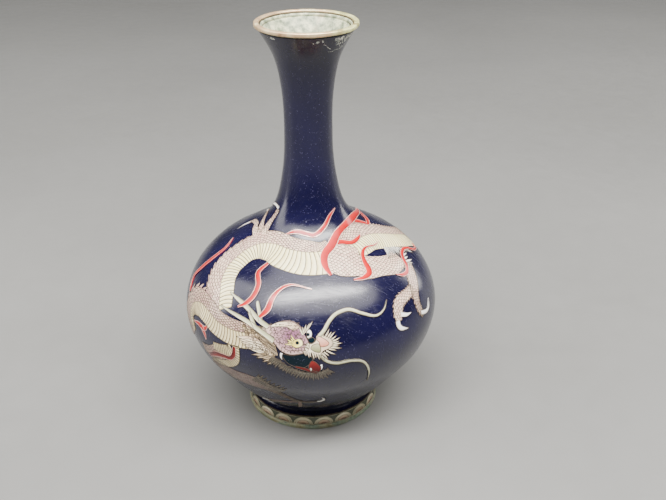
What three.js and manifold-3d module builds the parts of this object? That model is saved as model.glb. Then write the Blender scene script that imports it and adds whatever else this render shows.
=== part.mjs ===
// A long-necked cloisonne bottle vase: a brazed copper body, a midnight blue enamel ground, a foot
// with a decorated border, metal collars at mouth and foot, and a dragon of separate enamel inlays
// that lie in pockets in the ground. Millimetres, +Z up, standing on Z = 0 with its axis on Z.
// The front faces -Y: angle 0 is the front, and positive angles go towards +X.
import * as THREE from "three";
import { mergeVertices } from "three/addons/utils/BufferGeometryUtils.js";
import Module from "manifold-3d";

const wasm = await Module();
wasm.setup();

// Driving dimensions
const HEIGHT = 251.5; // foot to the top of the mouth collar
const SEGMENTS = 32; // round the axis, for every turned piece
const GAP = 0.3; // between neighbouring pieces
const GROUND_THICKNESS = 1.2; // midnight blue enamel
const COPPER_THICKNESS = 0.6;
const COUNTER_THICKNESS = 0.4; // enamel on the inside
const INLAY_THICKNESS = 0.5;
const POCKET_DEPTH = INLAY_THICKNESS + GAP;
const POCKET_ABOVE = 1.5; // how far a pocket's cutter stands above the surface
const STATION_SPACING = 8; // along an inlay, between the lines its faces are built on
const COLUMN_WIDTH = 10; // across an inlay, the widest face
const SEAM_HEIGHT = 1.6; // a bead of hard solder

const FOOT_RADIUS = 43.2;
const BEZEL_TOP = 3.0;
const BORDER_BOTTOM = BEZEL_TOP + 0.4;
const BORDER_TOP = 9.0;
const COLLAR_TOP = 13.2;
const FLOOR_UNDERSIDE = 14.2;
const LIP_RADIUS = 29.7;
const LIP_INNER_RADIUS = 25.1;
const LIP_BOTTOM = 248.9;

// Climbs are distances up the outer wall from its seam with the foot. The wall's faces meet at the
// rows, which are closest where the wall bends most.
const CLIMB_SHOULDER_SEAM = 74; // the widest level
const CLIMB_NECK_SEAM = 158;
const ROWS = [
  0, 4, 18, 36, 51, 64, 74, 84, 96, 109, 122, 133, 142, 150, 158, 170, 188, 215, 242, 262, 272,
];

// The outer wall, as radius and height, from the foot seam to the mouth.
const OUTLINE = [
  [38, 14], [50.5, 23], [64, 39.5], [75, 55.5], [79.7, 75.5], [74.7, 94], [62.4, 109.5],
  [45.8, 120.6], [28.8, 131.1], [20.4, 143.5], [15.7, 164.5], [14.3, 186], [15, 210.8],
  [19, 231.8], [27.9, 248.7],
];

const wall = new THREE.SplineCurve(OUTLINE.map(([r, z]) => new THREE.Vector2(r, z)));
const WALL_LENGTH = wall.getLength();

const METALS = {
  copper: new THREE.MeshStandardMaterial({ color: 0x9a5a3c, roughness: 0.45, metalness: 1 }),
  patina: new THREE.MeshStandardMaterial({ color: 0xb9a98f, roughness: 0.55, metalness: 0.6 }),
  solder: new THREE.MeshStandardMaterial({ color: 0xb8b2a4, roughness: 0.4, metalness: 1 }),
  wire: new THREE.MeshStandardMaterial({ color: 0xc4baa0, roughness: 0.35, metalness: 1 }),
};

const enamel = (color) => new THREE.MeshStandardMaterial({ color, roughness: 0.12, metalness: 0 });
const ENAMELS = {
  midnight: enamel(0x14103c),
  counter: enamel(0x9aa79a),
  border: enamel(0x5e6a4c),
  scales: enamel(0xc9b0a8),
  belly: enamel(0xe6e2c0),
  limb: enamel(0xc8aa9c),
  claw: enamel(0xf2efe6),
  flame: enamel(0xd8433c),
  skull: enamel(0xb195a5),
  horn: enamel(0xb8bb94),
  mane: enamel(0x8f8560),
  snout: enamel(0xd9a596),
  eye: enamel(0xe0d98a),
};

const group = new THREE.Group();

function addMesh(name, geometry, material) {
  const mesh = new THREE.Mesh(geometry, material);
  mesh.name = name;
  group.add(mesh);
}

// ---- Turned pieces -------------------------------------------------------------------------------

// A solid turned about Z from an outline of [radius, height] points, in anticlockwise order.
function turned(outline) {
  const points = [...outline, outline[0]].map(([r, z]) => new THREE.Vector2(r, z));
  return new THREE.LatheGeometry(points, SEGMENTS).rotateX(Math.PI / 2);
}

// A point of the wall's outline at a climb, moved in by a depth below the enamel's surface.
function wallOutline(climb, depth) {
  const share = THREE.MathUtils.clamp(climb / WALL_LENGTH, 0, 1);
  const point = wall.getPointAt(share);
  const along = wall.getTangentAt(share);
  return [point.x - depth * along.y, point.y + depth * along.x];
}

// One layer of the wall between two climbs: its outer outline going up and its inner one down.
function wallLayer(depth, thickness, from, to) {
  const between = ROWS.filter((climb) => climb > from + 2 && climb < to - 2);
  const climbs = [from, ...between, to];
  const outer = climbs.map((climb) => wallOutline(climb, depth));
  const inner = climbs.map((climb) => wallOutline(climb, depth + thickness)).reverse();
  return { outer, inner };
}

const COPPER_DEPTH = GROUND_THICKNESS + GAP;
const COUNTER_DEPTH = COPPER_DEPTH + COPPER_THICKNESS + GAP;
// Deeper layers end lower, so that the mouth collar covers them all.
const topClimb = (depth) => WALL_LENGTH - 0.9 - 0.55 * depth;

function addCopperBody() {
  const shell = (from, to) => wallLayer(COPPER_DEPTH, COPPER_THICKNESS, from, to);
  const half = SEAM_HEIGHT / 2 + GAP;

  const bowl = shell(0, CLIMB_SHOULDER_SEAM - half);
  const floorTop = FLOOR_UNDERSIDE + COPPER_THICKNESS;
  const floorRadius = bowl.outer[0][0] - 3;
  addMesh(
    "copper_lower_bowl",
    turned([
      [0, FLOOR_UNDERSIDE], [floorRadius, FLOOR_UNDERSIDE],
      ...bowl.outer, ...bowl.inner,
      [floorRadius - 0.5, floorTop], [0, floorTop],
    ]),
    METALS.copper,
  );

  const shoulder = shell(CLIMB_SHOULDER_SEAM + half, CLIMB_NECK_SEAM - half);
  addMesh("copper_shoulder", turned([...shoulder.outer, ...shoulder.inner]), METALS.copper);

  const neck = shell(CLIMB_NECK_SEAM + half, topClimb(COPPER_DEPTH));
  addMesh("copper_neck", turned([...neck.outer, ...neck.inner]), METALS.copper);

  for (const [name, climb] of [["shoulder", CLIMB_SHOULDER_SEAM], ["neck", CLIMB_NECK_SEAM]]) {
    const corners = [[-1, 0], [1, 0], [1, 1], [-1, 1]].map(([side, inside]) =>
      wallOutline(climb + (side * SEAM_HEIGHT) / 2, COPPER_DEPTH + inside * COPPER_THICKNESS),
    );
    addMesh(`${name}_solder_seam`, turned(corners), METALS.solder);
  }
}

function addCounterEnamel() {
  const bowl = wallLayer(COUNTER_DEPTH, COUNTER_THICKNESS, 4, CLIMB_NECK_SEAM - GAP / 2);
  const neck = wallLayer(
    COUNTER_DEPTH, COUNTER_THICKNESS, CLIMB_NECK_SEAM + GAP / 2, topClimb(COUNTER_DEPTH),
  );
  addMesh("bowl_counter_enamel", turned([...bowl.outer, ...bowl.inner]), ENAMELS.counter);
  addMesh("neck_counter_enamel", turned([...neck.outer, ...neck.inner]), ENAMELS.counter);
  const top = FLOOR_UNDERSIDE - GAP;
  addMesh(
    "base_counter_enamel",
    turned([[0, top - 0.8], [32, top - 0.8], [32, top], [0, top]]),
    ENAMELS.counter,
  );
}

// The foot ring, its solder, the bezel it stands on, and the enamel and wires on its outside. The
// lower pieces keep to the bezel's radius and the upper ones to the foot of the wall.
function addFoot() {
  const bezel = FOOT_RADIUS;
  const wallFoot = OUTLINE[0][0];
  addMesh(
    "copper_foot_ring",
    turned([
      [bezel - 3.2, BEZEL_TOP + GAP], [bezel - 1.9, BEZEL_TOP + GAP], [bezel - 2.8, BORDER_TOP],
      [wallFoot - 1.6, 13.6], [wallFoot - 2.8, 13.6], [bezel - 4.1, BORDER_TOP],
    ]),
    METALS.copper,
  );
  addMesh(
    "foot_solder_seam",
    turned([
      [wallFoot - 4.4, 12.4], [wallFoot - 3.2, 12.4], [wallFoot - 3.2, 13.6], [wallFoot - 4.4, 13.6],
    ]),
    METALS.solder,
  );
  addMesh(
    "foot_rim",
    turned([
      [bezel - 3, 0], [bezel - 0.8, 0], [bezel, BEZEL_TOP / 2], [bezel - 0.5, BEZEL_TOP],
      [bezel - 3.2, BEZEL_TOP], [bezel - 3.6, BEZEL_TOP / 2],
    ]),
    METALS.patina,
  );
  addMesh(
    "foot_border_enamel",
    turned([
      [bezel - 1.6, BORDER_BOTTOM], [bezel - 0.4, BORDER_BOTTOM], [bezel - 1.2, BORDER_TOP],
      [bezel - 2.45, BORDER_TOP],
    ]),
    ENAMELS.border,
  );
  addMesh(
    "foot_border_wire",
    turned([[bezel - 2.5, 9.3], [bezel - 1, 9.3], [bezel - 1, 9.9], [bezel - 2.5, 9.9]]),
    METALS.wire,
  );
  addMesh(
    "foot_collar_enamel",
    turned([
      [bezel - 2.5, 10.2], [bezel - 1.3, 10.2], [wallFoot + 0.3, COLLAR_TOP],
      [wallFoot - 0.7, COLLAR_TOP],
    ]),
    ENAMELS.midnight,
  );
  addMesh(
    "body_seam_wire",
    turned([
      [wallFoot - 1, 13.5], [wallFoot + 0.4, 13.5], [wallFoot + 0.4, 13.9], [wallFoot - 1, 13.9],
    ]),
    METALS.wire,
  );
}

function addMouthCollar() {
  addMesh(
    "mouth_rim",
    turned([
      [LIP_INNER_RADIUS + 0.3, LIP_BOTTOM], [LIP_RADIUS - 0.7, LIP_BOTTOM],
      [LIP_RADIUS, LIP_BOTTOM + 1.3], [LIP_RADIUS - 1.2, HEIGHT],
      [LIP_INNER_RADIUS + 1, HEIGHT], [LIP_INNER_RADIUS, LIP_BOTTOM + 1.3],
    ]),
    METALS.patina,
  );
}

// ---- Inlays --------------------------------------------------------------------------------------

// The wall as a chart: an angle in degrees round the axis and a climb in mm.
function wallPoint(angle, climb, depth) {
  const [r, z] = wallOutline(climb, depth);
  const turn = THREE.MathUtils.degToRad(angle);
  return [r * Math.sin(turn), -r * Math.cos(turn), z];
}

const radiusAt = (climb) => wallOutline(climb, 0)[0];

// Where a strip runs: stations along a smooth line through its points, each with its place, its
// direction across the line, and how far it reaches to the left and to the right of it, in mm.
function stations(points, grow) {
  const mmPerDegree = (climb) => THREE.MathUtils.degToRad(radiusAt(climb));
  const line = new THREE.SplineCurve(points.map(([angle, climb]) => new THREE.Vector2(angle, climb)));
  const reach = new THREE.SplineCurve(
    points.map(([, , left, right = left]) => new THREE.Vector2(left, right)),
  );
  const steps = points.slice(1).map(([angle, climb], i) =>
    Math.hypot((angle - points[i][0]) * mmPerDegree(climb), climb - points[i][1]),
  );
  const length = steps.reduce((sum, step) => sum + step, 0);
  const count = Math.max(2, Math.round(length / STATION_SPACING));
  return Array.from({ length: count + 1 }, (_, i) => {
    const place = line.getPoint(i / count);
    const along = line.getTangent(i / count);
    const sides = reach.getPoint(i / count);
    const scale = mmPerDegree(place.y);
    const forward = new THREE.Vector2(along.x * scale, along.y).normalize();
    const push = grow * (Number(i === count) - Number(i === 0));
    return {
      angle: place.x + (forward.x * push) / scale,
      climb: place.y + forward.y * push,
      across: new THREE.Vector2(-forward.y / scale, forward.x),
      left: sides.x + grow,
      right: sides.y + grow,
    };
  });
}

// A thin closed solid along a strip, following the wall between the depths `top` and `bottom`.
function stripSolid(points, { grow, top, bottom }) {
  const rows = stations(points, grow);
  const width = Math.max(...rows.map((row) => row.left + row.right)) - 2 * grow;
  const columns = Math.ceil(width / COLUMN_WIDTH);
  const positions = [top, bottom].flatMap((depth) =>
    rows.flatMap((row) =>
      Array.from({ length: columns + 1 }, (_, j) => {
        const offset = row.left - ((row.left + row.right) * j) / columns;
        const angle = row.angle + row.across.x * offset;
        return wallPoint(angle, row.climb + row.across.y * offset, depth);
      }).flat(),
    ),
  );

  const last = rows.length - 1;
  const at = (side, i, j) => (side * rows.length + i) * (columns + 1) + j;
  const index = [];
  const quad = (a, b, c, d) => index.push(a, b, c, a, c, d);
  for (let i = 0; i < last; i++) {
    for (let j = 0; j < columns; j++) {
      quad(at(0, i, j), at(0, i, j + 1), at(0, i + 1, j + 1), at(0, i + 1, j));
      quad(at(1, i, j), at(1, i + 1, j), at(1, i + 1, j + 1), at(1, i, j + 1));
    }
    quad(at(0, i, 0), at(0, i + 1, 0), at(1, i + 1, 0), at(1, i, 0));
    quad(at(0, i, columns), at(1, i, columns), at(1, i + 1, columns), at(0, i + 1, columns));
  }
  for (let j = 0; j < columns; j++) {
    quad(at(0, 0, j), at(1, 0, j), at(1, 0, j + 1), at(0, 0, j + 1));
    quad(at(0, last, j), at(0, last, j + 1), at(1, last, j + 1), at(1, last, j));
  }
  return solidFrom(new Float32Array(positions), new Uint32Array(index));
}

function solidFrom(vertProperties, triVerts) {
  return new wasm.Manifold(new wasm.Mesh({ numProp: 3, vertProperties, triVerts }));
}

function solidFromGeometry(geometry) {
  const bare = geometry.toNonIndexed();
  bare.deleteAttribute("normal");
  bare.deleteAttribute("uv");
  const merged = mergeVertices(bare, 1e-3);
  return solidFrom(merged.attributes.position.array, new Uint32Array(merged.index.array));
}

function geometryFromSolid(solid) {
  const { numProp, vertProperties, triVerts } = solid.getMesh();
  const buffer = new THREE.InterleavedBuffer(vertProperties, numProp);
  return new THREE.BufferGeometry()
    .setAttribute("position", new THREE.InterleavedBufferAttribute(buffer, 3, 0))
    .setIndex(new THREE.BufferAttribute(triVerts, 1));
}

const inlay = (name, material, ...strips) => ({ name, material, strips });

// Each strip is a list of [angle, climb, reach] or [angle, climb, reach left, reach right], where
// left and right are as seen while going along it. The pieces run from the topmost down, and each
// is cut back from the ones before it. A reach of -BARE stops short of the line itself, so that
// scales and belly plates can share one line.
const BARE = 0.2;

const HEAD = [
  inlay("eye_near", ENAMELS.eye, [[-9.7, 88.4, 0.8], [-7, 90, 2], [-4.8, 91.8, 1]]),
  inlay("eye_far", ENAMELS.eye, [[-1.4, 93.4, 0.7], [-1.3, 95.7, 1.5], [-1.4, 98, 0.8]]),
  inlay("nose", ENAMELS.flame, [[4.4, 88.2, 1], [5.4, 90.8, 2.2], [4.6, 93.6, 1]]),
  inlay("tongue", ENAMELS.flame, [[-5.4, 74.4, 0.5], [-1.4, 74.6, 1.5], [1.6, 76, 2.6], [1.2, 79.8, 1.2]]),
  inlay(
    "horn_near", ENAMELS.horn,
    [[-16.4, 90.6, 1.5], [-21, 93.8, 1.4], [-28.6, 97.8, 1.3], [-36, 99.8, 1.1], [-47, 101.2, 0.4]],
    [[-25.4, 96.2, 1.2], [-28, 100.4, 1.1], [-30.6, 104.8, 0.6]],
  ),
  inlay(
    "horn_far", ENAMELS.horn,
    [[-19.6, 98, 1.4], [-24.6, 100.9, 1.4], [-29.6, 104.6, 1.3], [-36, 107.8, 1.3], [-45, 110.6, 0.4]],
    [[-23.4, 100.4, 1.2], [-25, 105, 1.1], [-27.2, 110.2, 0.6]],
  ),
  inlay(
    "whisker_upper", ENAMELS.horn,
    [
      [3.4, 95.8, 1.2], [7, 102.6, 1.1], [12, 107, 1], [18, 107.6, 0.9], [24, 103.2, 0.8],
      [30, 100, 0.7], [38, 104.6, 0.3],
    ],
  ),
  inlay(
    "whisker_lower", ENAMELS.horn,
    [[3.6, 82.6, 0.9], [9, 78.6, 0.8], [16, 78, 0.8], [22, 74.8, 0.8], [24.6, 66, 0.6], [25, 57, 0.3]],
  ),
  inlay(
    "skull", ENAMELS.skull,
    [[-20.6, 95.6, 2.6], [-16, 94.8, 6.8], [-11.4, 94.2, 9], [-7.4, 93.4, 9], [-2.4, 89.6, 4]],
  ),
  inlay("snout", ENAMELS.snout, [[-1.4, 88, 3], [2, 89, 5], [6.4, 89.8, 5.6], [10.4, 89.8, 3]]),
  inlay(
    "lower_jaw", ENAMELS.mane,
    [[-15.6, 84, 1.8], [-13, 78, 2.4], [-8, 73, 2.6], [0, 70.6, 2.6], [6.4, 72.4, 2]],
  ),
  inlay("mane", ENAMELS.mane, [[-31, 92, 3], [-25, 90, 5.4], [-19, 87, 5.8], [-14.6, 85.6, 3]]),
];

const NECK_LINE = [
  [-64, 73], [-69, 81], [-67.6, 90], [-61, 94.6], [-53, 94], [-45, 91.4], [-34, 91], [-22, 93.4],
];
const TRUNK_LINE = [
  [-47, 98], [-50.6, 106], [-56, 115], [-59.4, 126], [-58, 138], [-50, 145.6], [-36, 148.6],
  [-20, 147.4], [-4, 146.2], [10, 146.4],
];
const TAIL_LINE = [
  [31, 147.2], [45, 147], [60, 146.8], [72, 143.6], [84, 136.4], [96, 125], [108, 112], [122, 100],
  [140, 93], [158, 93.6], [174, 100], [190, 105.4], [203, 103.4],
];
// A line with its reaches to one side, thinning as the lists say.
const leftOf = (line, reaches) => line.map(([a, c], i) => [a, c, reaches[i], -BARE]);
const rightOf = (line, reaches) => line.map(([a, c], i) => [a, c, -BARE, reaches[i]]);

const BODY = [
  inlay("neck_scales", ENAMELS.scales, leftOf(NECK_LINE, [10, 11.6, 10, 7.4, 6.6, 6.4, 6, 4])),
  inlay("neck_belly", ENAMELS.belly, rightOf(NECK_LINE, [3, 6, 7.6, 8.4, 8.4, 8.6, 9.4, 9])),
  inlay(
    "chest_scales", ENAMELS.scales,
    [[-57, 66, 4, 3], [-50, 66.6, 6, 3.6], [-44, 69, 8, 6], [-38, 72, 8, 6.4], [-33.4, 75.5, 4, 5]],
  ),
  inlay(
    "trunk_belly", ENAMELS.belly,
    rightOf(TRUNK_LINE, [9.6, 10.4, 10.8, 11, 10.8, 11.4, 12.4, 14, 15.4, 15.6]),
  ),
  inlay(
    "trunk_scales", ENAMELS.scales,
    leftOf([...TRUNK_LINE, [20, 149.4]], [7, 10, 12, 11.6, 10.4, 9.6, 8.4, 8, 8, 6.4, 4.6]),
  ),
  inlay(
    "rump", ENAMELS.limb,
    [[12.8, 138.6, 7], [20, 138.4, 10.2], [28, 137.2, 11], [38, 133.4, 10]],
  ),
  inlay(
    "thigh", ENAMELS.limb,
    [[35, 130.6, 9], [40, 128.8, 8.2], [48, 126, 7], [58, 122.4, 6.8], [68, 122.6, 5.4]],
  ),
  inlay(
    "tail_belly", ENAMELS.belly,
    rightOf(TAIL_LINE, [8, 11, 11.4, 12, 11.8, 11, 9.4, 7.8, 6.6, 5.6, 4.6, 3.6, 2.6]),
  ),
  inlay(
    "tail_scales", ENAMELS.scales,
    leftOf(TAIL_LINE, [6, 9.6, 10.4, 9.8, 9, 8.2, 7.6, 7, 6.4, 5.4, 4.6, 3.8, 3]),
  ),
  inlay(
    "tail_tip", ENAMELS.flame,
    [[204, 103.2, 3], [210, 100, 5], [216, 94, 4], [221, 86, 2], [223, 79, 0.5]],
  ),
];

const LEGS = [
  inlay(
    "hind_leg", ENAMELS.limb,
    [
      [70.6, 117, 3.2], [66.8, 112.4, 4], [62.8, 107, 4.3], [59, 101.4, 3.5], [57, 95, 2.5],
      [57.2, 89.6, 2.2], [58.4, 84.6, 1.4],
    ],
    [[60, 103.2, 2.8], [53, 102.8, 2.9], [45.8, 101.6, 3.5], [42.6, 96.6, 3.3], [41.6, 91.8, 2.3]],
  ),
  inlay("hind_claw_inner", ENAMELS.claw, [[40.8, 91.2, 1.6], [41.4, 87.6, 1.5], [45.8, 84.8, 0.4]]),
  inlay("hind_claw_outer", ENAMELS.claw, [[58.6, 87, 1.3], [62.6, 85.4, 1.3], [66.8, 87.6, 0.4]]),
  inlay(
    "upper_foreleg", ENAMELS.limb,
    [[-65.6, 150, 2.6], [-66, 157, 2.4], [-65, 163, 1.6], [-62.6, 168.6, 1.2]],
    [[-65, 152.6, 2.4], [-75, 153.4, 1.9], [-86, 156.6, 1.4], [-95, 158.4, 1]],
    [[-67, 149.8, 2], [-80, 149.4, 1.6], [-91, 147.8, 1.4], [-98, 144.4, 1.1]],
  ),
  inlay("upper_claw_high", ENAMELS.claw, [[-66, 169.6, 0.9], [-81, 168, 0.8], [-97, 165.6, 0.3]]),
  inlay("upper_claw_low", ENAMELS.claw, [[-98.2, 158.6, 0.9], [-105, 158.6, 0.7], [-112, 156.4, 0.3]]),
  inlay(
    "lower_foreleg", ENAMELS.limb,
    [
      [-52, 62, 4, 5], [-45, 58.6, 5, 6], [-37, 56.4, 5.4, 7], [-29, 55.6, 6.4, 6.4],
      [-22, 54, 4.4, 5.4], [-17.4, 48, 2.6, 3], [-13.6, 40.6, 2, 2.4], [-10, 34.6, 1.8, 2],
      [-5, 32, 1.4, 1.4], [2.4, 32.8, 1.1, 1.1],
    ],
    [[-9, 31.6, 1.4], [-16.3, 29, 1.2], [-24.3, 25.9, 1], [-31, 22, 0.6]],
    [[-8, 31, 1.2], [-8, 25, 1], [-9, 19, 0.7]],
  ),
  inlay("lower_claw_near", ENAMELS.claw, [[4, 33.6, 1], [6, 37, 0.9], [5, 43, 0.3]]),
  inlay("lower_claw_far", ENAMELS.claw, [[-32, 21.4, 0.8], [-35, 18.8, 0.6], [-38, 17.2, 0.3]]),
];

const FLAMES = [
  inlay(
    "flame_rump", ENAMELS.flame,
    [
      [13, 129.6, 1], [10.4, 137, 2.1], [12.4, 144, 2.4], [21, 149.4, 2.6], [32, 155.4, 2.3],
      [46, 158.4, 2], [66, 159.4, 2.4], [88, 157.8, 2], [110, 152.4, 1.5], [126, 146, 0.6],
    ],
    [[24, 151, 1.9], [33, 149.8, 1.7], [42, 147.2, 1.5], [52, 147.6, 1.2], [60, 149, 0.4]],
  ),
  inlay(
    "flame_thigh", ENAMELS.flame,
    [
      [26, 123.8, 0.5], [32.4, 123.3, 1.3], [37.5, 124.7, 1.8], [39.4, 128.4, 1.9],
      [42, 136.2, 1.3], [46, 139.2, 1], [52, 140, 0.6], [62, 138, 0.3],
    ],
  ),
  inlay(
    "flame_knee", ENAMELS.flame,
    [
      [54, 116, 0.4], [60, 112.8, 1.2], [66.4, 115.2, 1.4], [73, 121.6, 1.2], [84, 118.4, 1],
      [89, 112.8, 0.9], [97, 110.4, 0.4],
    ],
  ),
  inlay(
    "flame_neck", ENAMELS.flame,
    [[-28, 157.6, 0.6], [-14, 158.8, 1.2], [6, 158, 1.2], [20, 162.2, 1.3], [32, 167.6, 1], [46, 171, 0.3]],
  ),
  inlay(
    "flame_left", ENAMELS.flame,
    [[-83, 133, 0.3], [-77, 121.6, 1.3], [-78.6, 108.6, 1.4], [-81.6, 99, 1.2], [-77.6, 91.6, 0.6]],
  ),
  inlay(
    "flame_upper", ENAMELS.flame,
    [[-32, 135, 0.8], [-35.4, 128, 1.4], [-32, 119, 1.4], [-31.6, 111, 1.2], [-34.6, 104.4, 0.6]],
  ),
  inlay(
    "flame_lower", ENAMELS.flame,
    [[-9, 124, 0.3], [-16.4, 122.4, 0.9], [-20.6, 115, 1.3], [-22, 108.6, 1.3], [-24.4, 103, 0.6]],
  ),
  inlay(
    "flame_chest", ENAMELS.flame,
    [
      [-34.2, 80.6, 0.9], [-34.6, 76, 1.3], [-36.4, 72.3, 1.4], [-41, 71.2, 1.4], [-46, 69, 1.5],
      [-51.4, 65, 1.2],
    ],
  ),
];

function largestBody(solid) {
  const bodies = solid.decompose();
  const volume = Math.max(...bodies.map((body) => body.volume()));
  return bodies.find((body) => body.volume() === volume);
}

// Adds every inlay and gives back all their pockets as one solid.
function addInlays(inlays) {
  const solidOf = (strips, shape) =>
    wasm.Manifold.union(strips.map((strip) => stripSolid(strip, shape)));
  return inlays.reduce((pockets, { name, material, strips }) => {
    const whole = solidOf(strips, { grow: 0, top: 0, bottom: INLAY_THICKNESS });
    const pocket = solidOf(strips, { grow: GAP, top: -POCKET_ABOVE, bottom: POCKET_DEPTH });
    const cut = whole.subtract(pockets);
    addMesh(name, geometryFromSolid(largestBody(cut)), material);
    return pockets.add(pocket);
  }, wasm.Manifold.union([]));
}

function addGround(pockets) {
  const layer = wallLayer(0, GROUND_THICKNESS, 0.4, topClimb(0));
  const shell = solidFromGeometry(turned([...layer.outer, ...layer.inner]));
  const cut = shell.subtract(pockets);
  addMesh("ground_enamel", geometryFromSolid(largestBody(cut)), ENAMELS.midnight);
}

addCopperBody();
addCounterEnamel();
addFoot();
addMouthCollar();
addGround(addInlays([...HEAD, ...LEGS, ...FLAMES, ...BODY]));

export default group;
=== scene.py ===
"""Looks of a cloisonne bottle vase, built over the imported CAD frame.

Every outer skin is turned again at a fine resolution, and the dragon is laid on it cell by cell:
enamel plates, scales and hairs with the thin metal wires that outline them, each up to half a
millimetre proud of the polished ground. Lengths on the wall are in millimetres.
"""
import math
import random

import bpy
import numpy as np
from mathutils import Matrix, Vector
from mathutils.geometry import delaunay_2d_cdt


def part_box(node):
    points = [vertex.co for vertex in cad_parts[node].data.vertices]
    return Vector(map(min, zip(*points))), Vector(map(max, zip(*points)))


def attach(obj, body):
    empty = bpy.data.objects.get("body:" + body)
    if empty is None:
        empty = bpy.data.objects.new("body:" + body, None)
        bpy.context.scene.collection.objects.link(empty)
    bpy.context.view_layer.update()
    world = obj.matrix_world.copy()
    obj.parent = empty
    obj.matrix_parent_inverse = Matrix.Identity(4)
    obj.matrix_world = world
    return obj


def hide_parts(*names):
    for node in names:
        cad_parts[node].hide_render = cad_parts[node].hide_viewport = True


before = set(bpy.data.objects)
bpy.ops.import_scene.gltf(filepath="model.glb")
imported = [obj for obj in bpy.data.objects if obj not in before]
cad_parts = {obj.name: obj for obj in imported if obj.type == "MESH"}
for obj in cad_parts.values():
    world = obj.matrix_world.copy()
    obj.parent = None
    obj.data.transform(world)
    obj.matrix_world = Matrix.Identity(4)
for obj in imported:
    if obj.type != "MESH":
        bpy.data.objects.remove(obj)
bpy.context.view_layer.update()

MM = 0.001
BODY = "root"
SKIN_SEGMENTS = 256  # round the axis, for what shows
CORE_SEGMENTS = 96  # for the layers inside
SKIN_STEP = 1.6  # between rows up the wall
CORE_STEP = 4
BOWL_ENAMEL_STEP = 3

# The camera's place in metres, its angles in degrees and its focal length in mm.
CAMERA_PLACE = (0, -0.4973, 0.368)
CAMERA_TURN, CAMERA_DIP, CAMERA_ROLL = -1.634, 27.65, -0.277
CAMERA_LENS = 48.15
# Soft oval lights: place and size in metres, and power in watts.
LIGHTS = {
    "overhead_halo": ((0, -0.45, 1.5), (3.6, 1.5), 86),
    "overhead_core": ((0.1, -0.5, 1.48), (2.2, 0.44), 92),
    "left_window": ((-1.5, 0.1, 0.75), (0.7, 1.6), 17),
    "right_back": ((1.4, 0.8, 0.55), (0.4, 1.0), 9),
}
LIGHT_AIM = (0, 0, 0.12)
FLOOR_REACH = 4.0  # from the vase, in metres

# The outer wall, as radius and height, from the foot seam to the mouth.
OUTLINE = [
    (38, 14), (50.5, 23), (64, 39.5), (75, 55.5), (79.7, 75.5), (74.7, 94), (62.4, 109.5),
    (45.8, 120.6), (28.8, 131.1), (20.4, 143.5), (15.7, 164.5), (14.3, 186), (15, 210.8),
    (19, 231.8), (27.9, 248.7),
]
SHOULDER_SEAM = 74  # climb of the widest level
NECK_SEAM = 158
GROUND_THICKNESS = 1.2
COPPER_DEPTH = 1.5
COPPER_THICKNESS = 0.6
COUNTER_DEPTH = 2.4
COUNTER_THICKNESS = 0.4
SEAM_HALF = 0.8
SEAM_CLEARANCE = 1.1
GROUND_START = 0.4  # climb where the ground enamel begins
COUNTER_START = 4
COUNTER_GAP = 0.15  # on either side of the neck's seam
BEZEL_WIDTH = 3
BORDER_THICKNESS = 1.2
FOOT_LINE = [(42.75, 3.4), (42.4, 6), (42, 9)]  # face of the border round the foot
COPPER_FOOT = [(40, 3.3), (41.3, 3.3), (40.4, 9), (36.4, 13.6), (35.2, 13.6), (39.1, 9)]
COVE = [(41.9, 10.2), (40.5, 10.6), (39.4, 11.3), (38.7, 12.2), (38.3, 13.2)]
COVE_BACK = [(37.3, 13.2), (37.9, 12), (38.7, 10.9), (39.6, 10.4), (40.7, 10.2)]
# Rings of the foot: inner and outer radius, bottom and top.
FOOT_SOLDER = (33.6, 34.8, 12.4, 13.6)
BORDER_WIRE = (40.7, 42.2, 9.3, 9.9)
SEAM_WIRE = (37.0, 38.4, 13.45, 13.95)
BASE_RADIUS = 32
AXIS_GAP = 0.05  # radius of the pinhole in a turned disc
ARCHES = 20  # round the foot, each as shares of the pitch and of the border's height
ARCH_OUTER, ARCH_INNER, PETAL, HEART = (0.90, 0.80), (0.64, 0.52), (0.58, 0.45), (0.28, 0.22)
LIP_WIDTH = 3.1
ROLLED_EDGE_RADIUS = 24.9  # inside the mouth's rolled edge

WIRE = 0.35  # width of the outlining wires
WIRE_PROUD = 0.035  # of the enamel beside them
UNDERSIDE = -0.1  # level of every cell's back, inside the ground
STRIP_STEP = 1.2  # between the rows of a strip
STRIP_CELL = 2.0  # across a strip
CELL_PROUD = 0.05
SCALE_SEAT = 0.01  # scales and plates stand on their cell's face
SCALE_RISE = 0.06  # from a scale's root to its tip
PLATE_RISE = 0.05
SCALE_PITCH = 1.9

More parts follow.
